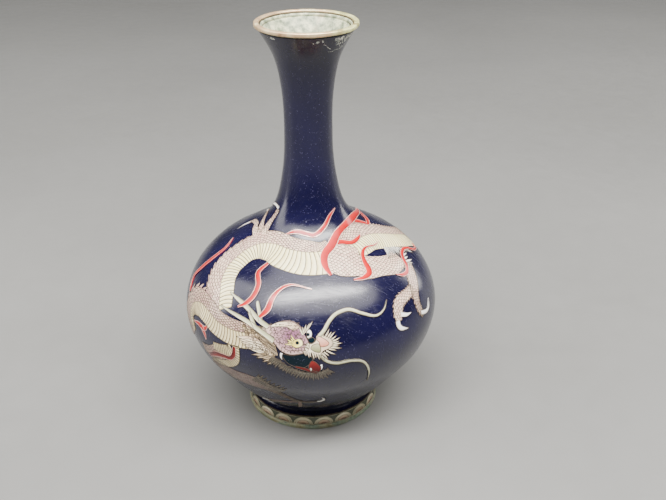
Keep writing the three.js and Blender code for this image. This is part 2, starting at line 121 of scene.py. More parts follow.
# Enamels of the dragon, each as its colour at a cell's root, middle and edge.
CELL_COLOURS = {
    "scales": ((0.22, 0.09, 0.10), (0.52, 0.31, 0.28), (0.86, 0.66, 0.50)),
    # The darker copies of the scales, belly and limb enamels below are painted shade for the dragon's
    # lower parts.
    "low_scales": ((0.15, 0.065, 0.07), (0.38, 0.22, 0.20), (0.68, 0.50, 0.37)),
    "belly": ((0.24, 0.18, 0.06), (0.82, 0.71, 0.35), (0.94, 0.86, 0.54)),
    "low_belly": ((0.18, 0.13, 0.05), (0.60, 0.49, 0.25), (0.80, 0.69, 0.42)),
    "limb": ((0.28, 0.11, 0.10), (0.62, 0.37, 0.31), (0.90, 0.71, 0.54)),
    "dim_limb": ((0.09, 0.045, 0.05), (0.21, 0.12, 0.115), (0.36, 0.26, 0.23)),
    "claw": ((0.70, 0.66, 0.58), (0.92, 0.90, 0.84), (0.96, 0.95, 0.92)),
    "spike": ((0.46, 0.36, 0.26), (0.72, 0.62, 0.44), (0.88, 0.80, 0.60)),
    "flame": ((0.26, 0.005, 0.007), (0.40, 0.010, 0.012), (0.54, 0.024, 0.022)),
    "dark_flame": ((0.06, 0.004, 0.005), (0.12, 0.008, 0.009), (0.20, 0.018, 0.016)),
    # The skull is set darker than its own enamel: painted shade.
    "skull": ((0.76, 0.60, 0.46), (0.46, 0.28, 0.29), (0.25, 0.105, 0.175)),
    "snout": ((0.54, 0.39, 0.28), (0.72, 0.57, 0.40), (0.84, 0.74, 0.54)),
    "nose": ((0.56, 0.22, 0.15), (0.72, 0.36, 0.26), (0.80, 0.48, 0.36)),
    "olive": ((0.20, 0.20, 0.10), (0.32, 0.32, 0.18), (0.46, 0.44, 0.28)),
    "mane": ((0.20, 0.14, 0.07), (0.46, 0.34, 0.20), (0.74, 0.60, 0.40)),
    # Jaw and horn are set darker than their own enamel: painted shade, deepest on the jaw.
    "jaw": ((0.032, 0.030, 0.022), (0.085, 0.078, 0.056), (0.21, 0.19, 0.145)),
    "horn": ((0.30, 0.31, 0.18), (0.50, 0.49, 0.31), (0.70, 0.67, 0.48)),
    "eye": ((0.60, 0.44, 0.06), (0.84, 0.72, 0.18), (0.92, 0.86, 0.42)),
}
BORDER_COLOURS = {
    "ground": ((0.05, 0.058, 0.032), (0.11, 0.115, 0.07), (0.20, 0.19, 0.13)),
    "arches": ((0.20, 0.18, 0.11), (0.42, 0.38, 0.25), (0.66, 0.61, 0.43)),
    "petals": ((0.16, 0.11, 0.065), (0.33, 0.24, 0.155), (0.50, 0.38, 0.26)),
    "hearts": ((0.05, 0.028, 0.018), (0.11, 0.06, 0.038), (0.20, 0.12, 0.075)),
}
# Collar metals: rubbed metal from dark to bright, the yellower metal of the right side, and patina.
MOUTH_RUB = ((0.26, 0.14, 0.08), (0.58, 0.40, 0.23), (0.74, 0.60, 0.35))
MOUTH_YELLOW = ((0.30, 0.30, 0.10), (0.76, 0.76, 0.34))
MOUTH_PATINA = ((0.22, 0.24, 0.14), (0.54, 0.52, 0.33))
FOOT_RUB = ((0.08, 0.07, 0.035), (0.20, 0.19, 0.10), (0.36, 0.34, 0.21))
FOOT_YELLOW = ((0.12, 0.12, 0.07), (0.40, 0.40, 0.26))
FOOT_PATINA = ((0.06, 0.09, 0.06), (0.17, 0.21, 0.15))
YELLOWING = 60 * MM  # how far to the right the collars are fully yellow
MIDNIGHT = ((0.0020, 0.0016, 0.0135), (0.0040, 0.0030, 0.024))
MOUTH_DARK = ((0.002, 0.006, 0.010), (0.004, 0.013, 0.018))
# Wires, bright and tarnished.
WIRE_COLOURS = {
    "wire": ((0.12, 0.088, 0.05), (0.04, 0.028, 0.019)),
    "head_wire": ((0.11, 0.08, 0.055), (0.04, 0.028, 0.022)),
    "bright_wire": ((0.74, 0.50, 0.42), (0.46, 0.26, 0.22)),
    "border_wire": ((0.36, 0.33, 0.21), (0.15, 0.15, 0.09)),
}


# ---- The camera, the lights and the floor --------------------------------------------------------

def put_in_scene(name, data):
    made = bpy.data.objects.new(name, data)
    bpy.context.scene.collection.objects.link(made)
    return made


def make_camera():
    camera = put_in_scene("camera", bpy.data.cameras.new("camera"))
    camera.data.sensor_width = 36
    camera.data.lens = CAMERA_LENS
    turn = Matrix.Rotation(math.radians(CAMERA_TURN), 4, "Z")
    tilt = Matrix.Rotation(math.radians(90 - CAMERA_DIP), 4, "X")
    roll = Matrix.Rotation(math.radians(CAMERA_ROLL), 4, "Z")
    camera.matrix_world = Matrix.Translation(CAMERA_PLACE) @ turn @ tilt @ roll
    bpy.context.scene.camera = camera


def add_lights():
    for name, (place, size, power) in LIGHTS.items():
        light = bpy.data.lights.new(name, "AREA")
        light.shape = "ELLIPSE"
        light.size, light.size_y = size
        light.energy = power
        light.color = (1.0, 0.98, 0.95)
        holder = put_in_scene(name, light)
        holder.location = place
        aim = Vector(LIGHT_AIM) - Vector(place)
        holder.rotation_euler = aim.to_track_quat("-Z", "Y").to_euler()
    world = bpy.data.worlds.new("studio")
    world.use_nodes = True
    backdrop = world.node_tree.nodes["Background"]
    backdrop.inputs["Color"].default_value = (0.80, 0.81, 0.83, 1)
    backdrop.inputs["Strength"].default_value = 0.18
    bpy.context.scene.world = world


def lay_floor():
    reach = FLOOR_REACH
    corners = [(-reach, -reach, 0), (reach, -reach, 0), (reach, reach, 0), (-reach, reach, 0)]
    mesh = bpy.data.meshes.new("floor")
    mesh.from_pydata(corners, [], [(0, 1, 2, 3)])
    mesh.materials.append(floor_material())
    put_in_scene("floor", mesh)


# ---- Materials -----------------------------------------------------------------------------------

class Shader:
    """A material's node tree, with short ways to add and join its nodes."""

    def __init__(self, name):
        self.material = bpy.data.materials.new(name)
        self.material.use_nodes = True
        self.tree = self.material.node_tree
        self.surface = self.tree.nodes["Principled BSDF"]
        self.place = self.add("ShaderNodeTexCoord").outputs["Object"]

    def feed(self, socket, value):
        """Joins an output to a socket, or sets the socket to a number or a colour."""
        if isinstance(value, bpy.types.NodeSocket):
            self.tree.links.new(value, socket)
        else:
            socket.default_value = (*value, 1) if isinstance(value, tuple) else value

    def add(self, kind, inputs=None, **settings):
        """A new node. Its inputs, by name or number, are outputs to join, numbers or colours."""
        made = self.tree.nodes.new(kind)
        for key, value in settings.items():
            setattr(made, key, value)
        for key, value in (inputs or {}).items():
            self.feed(made.inputs[key], value)
        return made

    def noise(self, scale, detail=3.0, roughness=0.55, stretch=None):
        """Noise with features about 1 / scale metres wide."""
        place = self.place
        if stretch:
            mapping = self.add("ShaderNodeMapping", {"Vector": place})
            mapping.inputs["Scale"].default_value = stretch
            place = mapping.outputs["Vector"]
        inputs = {"Vector": place, "Scale": scale, "Detail": detail, "Roughness": roughness}
        return self.add("ShaderNodeTexNoise", inputs).outputs["Fac"]

    def cells(self, scale, feature="F1"):
        inputs = {"Vector": self.place, "Scale": scale}
        return self.add("ShaderNodeTexVoronoi", inputs, feature=feature).outputs["Distance"]

    def ramp(self, value, *stops):
        """Colours or greys at positions along a value."""
        made = self.add("ShaderNodeValToRGB", {"Fac": value})
        band = made.color_ramp
        while len(band.elements) < len(stops):
            band.elements.new(0.5)
        for element, (position, colour) in zip(band.elements, stops):
            element.position = position
            element.color = (*(colour if isinstance(colour, tuple) else (colour,) * 3), 1)
        return made.outputs["Color"]

    def spread(self, value, low, high):
        """From one colour or grey to another over the usual range of a noise."""
        return self.ramp(value, (0.3, low), (0.7, high))

    def shade(self):
        """The mesh's own shade."""
        return self.add("ShaderNodeAttribute", attribute_name="shade").outputs["Fac"]

    def along(self, axis):
        """The place along X, Y or Z, in metres."""
        return self.add("ShaderNodeSeparateXYZ", {"Vector": self.place}).outputs[axis]

    def math(self, operation, first, second):
        inputs = {0: first, 1: second}
        return self.add("ShaderNodeMath", inputs, operation=operation).outputs["Value"]

    def mix(self, share, first, second, blend="MIX"):
        """Blends two colours."""
        inputs = {0: share, 6: first, 7: second}
        return self.add("ShaderNodeMix", inputs, data_type="RGBA", blend_type=blend).outputs[2]

    def bump(self, value, distance, strength):
        """Adds relief, distance in mm, on top of any that the surface has."""
        inputs = {"Height": value, "Distance": distance * MM, "Strength": strength}
        made = self.add("ShaderNodeBump", inputs)
        normal = self.surface.inputs["Normal"]
        if normal.links:
            self.feed(made.inputs["Normal"], normal.links[0].from_socket)
        self.feed(normal, made.outputs["Normal"])

    def set(self, **values):
        """Feeds the surface's sockets: base_color is Base Color."""
        for key, value in values.items():
            socket = key.replace("_", " ").title().replace("Ior", "IOR")
            self.feed(self.surface.inputs[socket], value)


def floor_material():
    shader = Shader("floor")
    mottle = shader.noise(3.0, detail=4)
    shader.set(
        base_color=shader.spread(mottle, (0.135, 0.135, 0.13), (0.155, 0.155, 0.15)),
        roughness=shader.spread(shader.noise(60), 0.55, 0.68),
    )
    shader.bump(shader.noise(900), 0.05, 0.3)
    return shader.material


def add_pits(shader, colour, pit_colour, density):
    """Pinholes that polishing opened in the enamel; pale pits are painted glints of light in them."""
    dots = shader.ramp(shader.cells(1400), (0.10, 1.0), (0.22, 0.0))
    where = shader.ramp(shader.noise(700, detail=2), (density, 0.0), (density + 0.04, 1.0))
    pits = shader.math("MULTIPLY", dots, where)
    shader.bump(pits, -0.05, 0.6)
    return shader.mix(pits, colour, pit_colour)


def midnight_enamel(name, deep, shallow, gloss=0.5):
    """Dark glass, polished level, with pinholes and hairline scratches."""
    shader = Shader(name)
    depth = shader.spread(shader.noise(28, detail=5), deep, shallow)
    # Pale pits: painted glints of light caught in the pinholes.
    colour = add_pits(shader, depth, (0.16, 0.15, 0.25), 0.55)
    scratches = shader.noise(160, detail=2, stretch=(1, 9, 0.6))
    shader.set(
        base_color=colour,
        roughness=shader.ramp(scratches, (0.42, 0.17), (0.72, 0.30)),
        specular_ior_level=gloss,
    )
    shader.bump(shader.noise(45, detail=2), 0.10, 0.25)
    return shader.material


def cell_enamel(name, root, middle, edge, gloss=0.5):
    """Opaque enamel of a cell, graded from its root to its edge by the mesh's own shade."""
    shader = Shader(name)
    wander = shader.math("MULTIPLY", shader.noise(420), 0.36)
    graded = shader.math("ADD", shader.shade(), shader.math("SUBTRACT", wander, 0.18))
    colour = shader.ramp(graded, (0.08, root), (0.5, middle), (0.92, edge))
    patchy = shader.spread(shader.noise(60, detail=2), 0.86, 1.0)
    colour = shader.mix(1.0, colour, patchy, "MULTIPLY")
    colour = add_pits(shader, colour, tuple(0.35 * part for part in middle), 0.62)
    shader.set(
        base_color=colour,
        roughness=shader.spread(shader.noise(300), 0.10, 0.22),
        specular_ior_level=gloss,
        coat_weight=0.4 * gloss,
        coat_roughness=0.08,
    )
    shader.bump(shader.noise(260), 0.03, 0.4)
    return shader.material


def wire_metal(name, bright, dull):
    """Thin pale wire, ground level with the enamel and dulled here and there."""
    shader = Shader(name)
    tarnish = shader.noise(350)
    shader.set(
        base_color=shader.ramp(tarnish, (0.35, dull), (0.65, bright)),
        metallic=0.45,
        roughness=shader.spread(tarnish, 0.45, 0.28),
    )
    shader.bump(shader.noise(2000), 0.01, 0.3)
    return shader.material


def rim_metal(name, green, rub, yellow, patina_colours):
    """A worn collar: pale where it is rubbed, yellower to the right, verdigris in the hollows."""
    shader = Shader(name)
    wear = shader.noise(150, detail=6, roughness=0.65)
    rubbed = shader.ramp(wear, *zip((0.25, 0.45, 0.65), rub))
    yellowed = shader.ramp(wear, *zip((0.3, 0.55), yellow))
    rightness = shader.math("MULTIPLY", shader.along("X"), 1 / YELLOWING)
    lean = shader.math("ADD", rightness, shader.noise(45))
    rubbed = shader.mix(shader.ramp(lean, (0.62, 0.0), (0.88, 0.9)), rubbed, yellowed)
    spread = shader.noise(75, detail=7, roughness=0.7)

    def with_green(bare, covered):
        return shader.ramp(spread, (green, bare), (green + 0.12, covered))

    verdigris = shader.spread(shader.noise(500), *patina_colours)
    shader.set(
        base_color=shader.mix(with_green(0.0, 1.0), rubbed, verdigris),
        metallic=with_green(0.55, 0.0),
        roughness=with_green(0.36, 0.8),
    )
    shader.bump(shader.noise(420, detail=5), 0.12, 0.5)
    return shader.material


def sheet_copper():
    shader = Shader("sheet_copper")
    oxide = shader.noise(90, detail=5)
    shader.set(
        base_color=shader.spread(oxide, (0.24, 0.10, 0.06), (0.55, 0.27, 0.17)),
        metallic=0.9,
        roughness=shader.spread(oxide, 0.6, 0.4),
    )
    shader.bump(shader.cells(110, "SMOOTH_F1"), 0.15, 0.4)
    return shader.material


def silver_solder():
    shader = Shader("silver_solder")
    flow = shader.noise(260, detail=4)
    shader.set(
        base_color=shader.spread(flow, (0.34, 0.32, 0.28), (0.62, 0.60, 0.54)),
        metallic=0.9,
        roughness=shader.spread(flow, 0.55, 0.35),
    )
    shader.bump(flow, 0.1, 0.5)
    return shader.material


def counter_enamel():
    """Mottled grey-green enamel, with drips, dust and orange-peel ripples."""
    shader = Shader("counter_enamel")
    mottle = shader.ramp(
        shader.noise(240, detail=7, roughness=0.7),
        (0.38, (0.13, 0.155, 0.10)), (0.5, (0.31, 0.335, 0.225)), (0.62, (0.58, 0.57, 0.37)),
    )
    rust = shader.ramp(shader.noise(55, detail=5), (0.60, 0.0), (0.70, 0.5))
    shader.set(
        base_color=shader.mix(rust, mottle, (0.30, 0.19, 0.12)),
        roughness=shader.spread(shader.noise(200), 0.25, 0.5),
    )
    shader.bump(shader.noise(180), 0.2, 0.5)
    return shader.material


def chipped_filler():
    """Old filler and bare glass where the enamel at the mouth was knocked off."""
    shader = Shader("chipped_filler")
    crumbs = shader.noise(520, detail=6, roughness=0.7)
    colours = ((0.03, 0.035, 0.06), (0.26, 0.29, 0.25), (0.74, 0.74, 0.64))
    shader.set(
        base_color=shader.ramp(crumbs, *zip((0.34, 0.44, 0.56), colours)),
        roughness=shader.spread(crumbs, 0.5, 0.85),
    )
    shader.bump(crumbs, 0.12, 0.7)
    return shader.material


class Looks:
    """The materials that pieces share, and the reliefs that gather the dragon's wires."""

    def __init__(self):
        for name, colours in CELL_COLOURS.items():
            gloss = 0.22 if "flame" in name else 0.5
            setattr(self, name, cell_enamel(f"{name}_enamel", *colours, gloss=gloss))
        for name, colours in WIRE_COLOURS.items():
            setattr(self, name, wire_metal(f"{name}_metal", *colours))
        self.copper = sheet_copper()
        self.solder = silver_solder()
        self.counter = counter_enamel()
        self.ground = midnight_enamel("midnight_enamel", *MIDNIGHT)
        self.dark = midnight_enamel("mouth_enamel", *MOUTH_DARK, gloss=0.15)
        self.wires = Relief()
        self.head_wires = Relief()
        self.bright_wires = Relief()

    def build_wires(self):
        self.wires.build("dragon_wires", self.wire, "silver_wire")
        self.head_wires.build("head_wires", self.head_wire, "silver_wire")
        self.bright_wires.build("flame_wires", self.bright_wire, "silver_wire")


# ---- The wall as a chart -------------------------------------------------------------------------

def smooth_line(points, per_span, closed=False):
    """A smooth line through points, with per_span steps from each point to the next."""
    points = np.array(points, dtype=float)
    before, after = (points[-1:], points[:2]) if closed else (points[:1], points[-1:])
    padded = np.vstack([before, points, after])
    t = np.linspace(0, 1, per_span, endpoint=False)[:, None]
    spans = [
        b + 0.5 * ((c - a) * t + (2 * a - 5 * b + 4 * c - d) * t**2 + (3 * (b - c) + d - a) * t**3)
        for a, b, c, d in zip(padded, padded[1:], padded[2:], padded[3:])
    ]
    return np.vstack(spans if closed else [*spans, points[-1:]])


def lengths_along(line):
    steps = np.hypot(*np.diff(line, axis=0).T)
    return np.concatenate([[0.0], np.cumsum(steps)])


class Wall:
    """A turned surface as a chart: degrees round the axis from the front, and climb up it in mm."""

    STEP = 0.25  # between the rows of its table

    def __init__(self, outline):
        line = smooth_line(outline, 60)
        climbs = lengths_along(line)
        self.length = climbs[-1]
        places = np.arange(0, self.length + self.STEP, self.STEP)
        slope = np.gradient(line, climbs, axis=0)
        columns = (line[:, 0], line[:, 1], slope[:, 1], -slope[:, 0])
        rows = [np.interp(places, climbs, column) for column in columns]
        self.table = np.stack(rows, axis=1).tolist()

    def section(self, climb, lift=0.0):
        """Radius and height in mm at a climb, moved out by lift."""
        place = min(max(climb / self.STEP, 0.0), len(self.table) - 1.001)
        row = int(place)
        share = place - row
        radius, height, out, up = (
            a + share * (b - a) for a, b in zip(self.table[row], self.table[row + 1])
        )
        return radius + lift * out, height + lift * up

    def point(self, angle, climb, lift=0.0):
        """The place in space, in metres."""
        radius, height = self.section(climb, lift)
        turn = math.radians(angle)
        return Vector((radius * math.sin(turn), -radius * math.cos(turn), height)) * MM

    def mm_per_degree(self, climb):
        return math.radians(self.section(climb)[0])


wall = Wall(OUTLINE)


class Band:
    """A strip of the wall along a smooth line through [angle, climb, left reach, right reach]."""

    def __init__(self, points):
        full = [(*point, point[2]) if len(point) == 3 else point for point in points]
        line = smooth_line(full, 20)
        scale = np.array([wall.mm_per_degree(climb) for climb in line[:, 1]])
        flat = np.stack([np.cumsum(np.gradient(line[:, 0]) * scale), line[:, 1]], axis=1)
        self.along = lengths_along(flat)
        self.length = self.along[-1]
        heading = np.gradient(flat, self.along, axis=0)
        heading /= np.linalg.norm(heading, axis=1)[:, None]
        self.columns = [*line.T, scale, *heading.T]

    def values(self, along):
        """Angle, climb, left and right reach, scale and heading at a length along the strip."""
        return [float(np.interp(along, self.along, column)) for column in self.columns]

    def width(self, along):
        return sum(self.values(along)[2:4])

    def place(self, along, share, beyond=0.0):
        """Chart place at a share of the way from the right edge to the left, plus mm beyond."""
        along = min(max(along, 0.0), self.length)
        angle, climb, left, right, scale, forward_x, forward_y = self.values(along)
        offset = -right + share * (left + right) + beyond
        return angle - forward_y * offset / scale, climb + forward_x * offset

    def edge(self, share):
        """The chart line along one edge."""
        count = max(2, round(self.length / STRIP_STEP))
        return [self.place(self.length * i / count, share) for i in range(count + 1)]


# ---- Meshes --------------------------------------------------------------------------------------

def rim_of(rows):
    """The vertices round a grid: up one side, over its end, and back."""
    right_side = [row[-1] for row in rows[-2::-1]]
    return [row[0] for row in rows] + rows[-1][1:] + right_side + rows[0][-2:0:-1]


class Relief:
    """Shapes laid on a chart, gathered into one mesh with a shade from 0 to 1 at each vertex."""

    def __init__(self, chart=wall):
        self.chart = chart
        self.points = []
        self.shades = []
        self.faces = []

    def vertex(self, place, lift, shade=0.5):
        self.points.append(self.chart.point(*place, lift))
        self.shades.append(shade)
        return len(self.points) - 1

    def grid(self, rows):
        """Joins equal rows of vertices with quads."""
        for below, above in zip(rows, rows[1:]):
            for i in range(len(below) - 1):
                self.faces.append((below[i], below[i + 1], above[i + 1], above[i]))

    def fan(self, rim, centre):
        """A sheet of triangles from a middle vertex to a ring of them."""
        for i in range(len(rim)):
            self.faces.append((centre, rim[i], rim[(i + 1) % len(rim)]))

    def skirt(self, rim, foot):
        """Closes the side between two loops of vertices."""
        for i in range(len(rim)):
            j = (i + 1) % len(rim)
            self.faces.append((rim[j], rim[i], foot[i], foot[j]))

    def band(self, band, high, tone=None):
        """A closed strip, of one tone or shaded from its right edge to its left."""
        rows = max(2, round(band.length / STRIP_STEP))
        widest = max(band.width(band.length * i / rows) for i in range(rows + 1))
        columns = max(2, round(widest / STRIP_CELL))
        shares = [1 - j / columns for j in range(columns + 1)]
        tones = shares if tone is None else [tone] * len(shares)
        top, bottom = [], []
        for i in range(rows + 1):
            places = [band.place(band.length * i / rows, share) for share in shares]
            top.append([self.vertex(place, high, shade) for place, shade in zip(places, tones)])
            bottom.append([self.vertex(place, UNDERSIDE) for place in places])
        self.grid([row[::-1] for row in top])
        self.grid(bottom)
        self.skirt(rim_of(top), rim_of(bottom))

    def patch(self, outline, low, high, shade=None, cell=1.6):
        """A closed plate inside a chart outline. shade(x, y) takes shares of its box."""
        shade = shade or (lambda x, y: y)
        middle = sum(climb for _, climb in outline) / len(outline)
        scale = self.chart.mm_per_degree(middle)
        edges = zip(outline, outline[1:] + outline[:1])
        if sum(a[0] * b[1] - b[0] * a[1] for a, b in edges) <= 0:
            outline = outline[::-1]
        flat = [Vector((angle * scale, climb)) for angle, climb in outline]
        low_x, low_y = (min(p[axis] for p in flat) for axis in (0, 1))
        wide = max(p[0] for p in flat) - low_x
        tall = max(p[1] for p in flat) - low_y
        inside = [
            Vector((low_x + cell * (i + 0.5 * (j % 2)), low_y + cell * j))
            for i in range(int(wide / cell) + 1) for j in range(int(tall / cell) + 1)
        ]
        count = len(flat)
        ring = [(i, (i + 1) % count) for i in range(count)]
        made, _, triangles, origins, _, _ = delaunay_2d_cdt(flat + inside, ring, [], 2, 1e-4)
        top = {}
        for i in sorted({i for triangle in triangles for i in triangle}):
            x, y = made[i]
            tone = shade((x - low_x) / wide, (y - low_y) / tall)
            top[i] = self.vertex((x / scale, y), high, tone)
        self.faces.extend(tuple(top[i] for i in triangle) for triangle in triangles)
        rim = [top[next(i for i in top if k in origins[i])] for k in range(count)]
        foot = [self.vertex(place, low) for place in outline]
        self.skirt(rim, foot)
        self.faces.append(tuple(foot[::-1]))

    def wire(self, path, low, high, width=WIRE, closed=False):
        """A bar of wire set on edge along a chart path."""
        count = len(path)
        half = width / 2
        sections = []
        for i, (angle, climb) in enumerate(path):
            before = path[i - 1] if i or closed else path[i]
            after = path[(i + 1) % count] if i < count - 1 or closed else path[i]
            scale = self.chart.mm_per_degree(climb)
            run = Vector(((after[0] - before[0]) * scale, after[1] - before[1])).normalized()
            left = (angle - run.y * half / scale, climb + run.x * half)
            right = (angle + run.y * half / scale, climb - run.x * half)
            corners = ((right, low), (right, high), (left, high), (left, low))
            sections.append([self.vertex(place, lift) for place, lift in corners])
        for here, there in zip(sections, sections[1:]):
            self.skirt(here, there)
        if closed:
            self.skirt(sections[-1], sections[0])
        else:
            self.faces.append(tuple(sections[0][::-1]))
            self.faces.append(tuple(sections[-1]))

    def build(self, name, material, slot):
        mesh = bpy.data.meshes.new(name)
        mesh.from_pydata(self.points, [], self.faces)
        shades = mesh.attributes.new("shade", "FLOAT", "POINT")
        shades.data.foreach_set("value", self.shades)
        place_piece(name, mesh, material)


def place_piece(name, mesh, material):
    """Puts a finished piece in the scene, in place of the CAD node of its name if there is one."""
    mesh.validate()
    mesh.materials.append(material)
    mesh.shade_smooth()
    mesh.set_sharp_from_angle(angle=math.radians(35))
    piece = put_in_scene(name, mesh)
    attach(piece, BODY)
    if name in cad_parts:
        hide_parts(name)


def lathe(name, outline, material, segments=SKIN_SEGMENTS, wobble=None):
    """A turned piece, from a closed outline of (radius, height) in mm.

    wobble(angle, radius, height) gives a changed radius and height."""
    points, faces = [], []
    count = len(outline)
    for i in range(segments):
        turn = 2 * math.pi * i / segments
        for radius, height in outline:
            if wobble:
                radius, height = wobble(math.degrees(turn), radius, height)
            points.append(Vector((radius * math.sin(turn), -radius * math.cos(turn), height)) * MM)
        for j in range(count):
            k = (j + 1) % count
            n = (i + 1) % segments
            faces.append((i * count + j, n * count + j, n * count + k, i * count + k))
    mesh = bpy.data.meshes.new(name)
    mesh.from_pydata(points, [], faces)
    place_piece(name, mesh, material)


# ---- The vessel ----------------------------------------------------------------------------------

def wall_layer(depth, thickness, start, end, step=SKIN_STEP):
    """The closed outline of one layer of the wall, anticlockwise."""
    count = round((end - start) / step)
    climbs = [start + (end - start) * i / count for i in range(count + 1)]
    outer = [wall.section(climb, -depth) for climb in climbs]
    inner = [wall.section(climb, -depth - thickness) for climb in reversed(climbs)]
    return outer + inner


def top_climb(depth):
    """Deeper layers end lower, so that the mouth collar covers them all."""
    return wall.length - 0.9 - 0.55 * depth


def build_copper(looks):
    """The copper body and its seams."""
    def sheet(start, end, step=CORE_STEP):
        return wall_layer(COPPER_DEPTH, COPPER_THICKNESS, start, end, step)

    bowl = sheet(0, SHOULDER_SEAM - SEAM_CLEARANCE)
    under, over = bowl[0][1] - 0.9, bowl[0][1] - 0.1
    rim = bowl[0][0] - 3
    bottom = [(AXIS_GAP, under), (rim, under)]
    sheets = {
        "copper_shoulder": sheet(SHOULDER_SEAM + SEAM_CLEARANCE, NECK_SEAM - SEAM_CLEARANCE),
        "copper_neck": sheet(NECK_SEAM + SEAM_CLEARANCE, top_climb(COPPER_DEPTH)),
        "copper_lower_bowl": [*bottom, *bowl, (rim - 0.5, over), (AXIS_GAP, over)],
    }
    for name, outline in sheets.items():
        lathe(name, outline, looks.copper, CORE_SEGMENTS)
    for name, climb in (("shoulder_solder_seam", SHOULDER_SEAM), ("neck_solder_seam", NECK_SEAM)):
        seam = sheet(climb - SEAM_HALF, climb + SEAM_HALF, SKIN_STEP)
        lathe(name, seam, looks.solder, CORE_SEGMENTS)


def build_enamel_layers(looks):
    """The counter enamel inside, in two lengths that meet at the neck, and the ground outside."""
    counter = (COUNTER_DEPTH, COUNTER_THICKNESS)
    bowl = wall_layer(*counter, COUNTER_START, NECK_SEAM - COUNTER_GAP, BOWL_ENAMEL_STEP)
    lathe("bowl_counter_enamel", bowl, looks.counter, CORE_SEGMENTS)
    neck = wall_layer(*counter, NECK_SEAM + COUNTER_GAP, top_climb(COUNTER_DEPTH))
    lathe("neck_counter_enamel", neck, looks.counter)
    ground = wall_layer(0, GROUND_THICKNESS, GROUND_START, top_climb(0))
    lathe("ground_enamel", ground, looks.ground)


def extent(node):
    """A turned CAD node's outer radius, bottom and top, in mm."""
    low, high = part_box(node)
    return high.x / MM, low.z / MM, high.z / MM


def uneven(angle, amount, seed):
    """A slow hand-made waviness round a ring, in mm."""
    turn = math.radians(angle)
    return amount * (
        math.sin(2 * turn + seed) + 0.6 * math.sin(5 * turn + 2.3 * seed)
        + 0.4 * math.sin(11 * turn + 4.1 * seed) + 0.25 * math.sin(23 * turn + 1.7 * seed)
    )


def ring_outline(left, right, bottom, top, squareness=3.2, count=28):
    """A rounded section between two radii and two heights, anticlockwise."""
    middle_r, middle_z = (left + right) / 2, (bottom + top) / 2
    points = []
    for i in range(count):
        turn = 2 * math.pi * i / count
        sides = (math.cos(turn), math.sin(turn))
        wide, tall = (math.copysign(abs(side) ** (2 / squareness), side) for side in sides)
        points.append((middle_r + wide * (right - left) / 2, middle_z + tall * (top - bottom) / 2))
    return points


def build_mouth(looks):
    """The folded collar, the counter enamel that rolls up to it, and a dark ring between them: painted
    shadow.
    """
    outer, bottom, top = extent("mouth_rim")
    inner = outer - LIP_WIDTH

    def hand_made(angle, radius, height):
        radius += uneven(angle, 0.07, 1.0)
        return min(radius, outer), min(height + uneven(angle, 0.05, 2.0) * (height < top - 0.6), top)

    collar = rim_metal("mouth_metal", 0.54, MOUTH_RUB, MOUTH_YELLOW, MOUTH_PATINA)
    fold = ring_outline(inner, outer - 0.12, bottom, top)
    lathe("mouth_rim", fold, collar, wobble=hand_made)
    rolled_edge = ring_outline(ROLLED_EDGE_RADIUS, inner + 0.4, bottom - 1.6, bottom + 1.0, 2.4, 16)
    lathe("mouth_inner_edge", rolled_edge, looks.counter)
    # A dark ring in the wire's metal just inside the collar: painted shadow of the gap between collar
    # and counter enamel.
    shadow_ring = ring_outline(inner - 0.8, inner + 0.3, bottom + 0.7, bottom + 1.7, 2.4, 12)
    lathe("mouth_seam", shadow_ring, looks.wire)


def build_foot(looks):
    outer, _, top = extent("foot_rim")

    def hand_made(angle, radius, height):
        return min(radius + uneven(angle, 0.06, 3.0), outer), max(height, 0.0)

    bezel = rim_metal("foot_metal", 0.44, FOOT_RUB, FOOT_YELLOW, FOOT_PATINA)
    section = ring_outline(outer - BEZEL_WIDTH, outer - 0.1, 0, top, 4.5)
    lathe("foot_rim", section, bezel, wobble=hand_made)
    lathe("copper_foot_ring", COPPER_FOOT, looks.copper)
    lathe("foot_solder_seam", ring_outline(*FOOT_SOLDER, 2.2, 16), looks.solder)
    _, low, high = extent("base_counter_enamel")
    base = [(AXIS_GAP, low), (BASE_RADIUS, low), (BASE_RADIUS, high), (AXIS_GAP, high)]
    lathe("base_counter_enamel", base, looks.counter)
    back = [(radius - BORDER_THICKNESS, height) for radius, height in reversed(FOOT_LINE)]
    border = cell_enamel("border_enamel", *BORDER_COLOURS["ground"])
    lathe("foot_border_enamel", FOOT_LINE + back, border)
    lathe("foot_border_wire", ring_outline(*BORDER_WIRE, 4, 12), looks.wire)
    lathe("body_seam_wire", ring_outline(*SEAM_WIRE, 3, 12), looks.bright_wire)
    lathe("foot_collar_enamel", COVE + COVE_BACK, looks.ground)


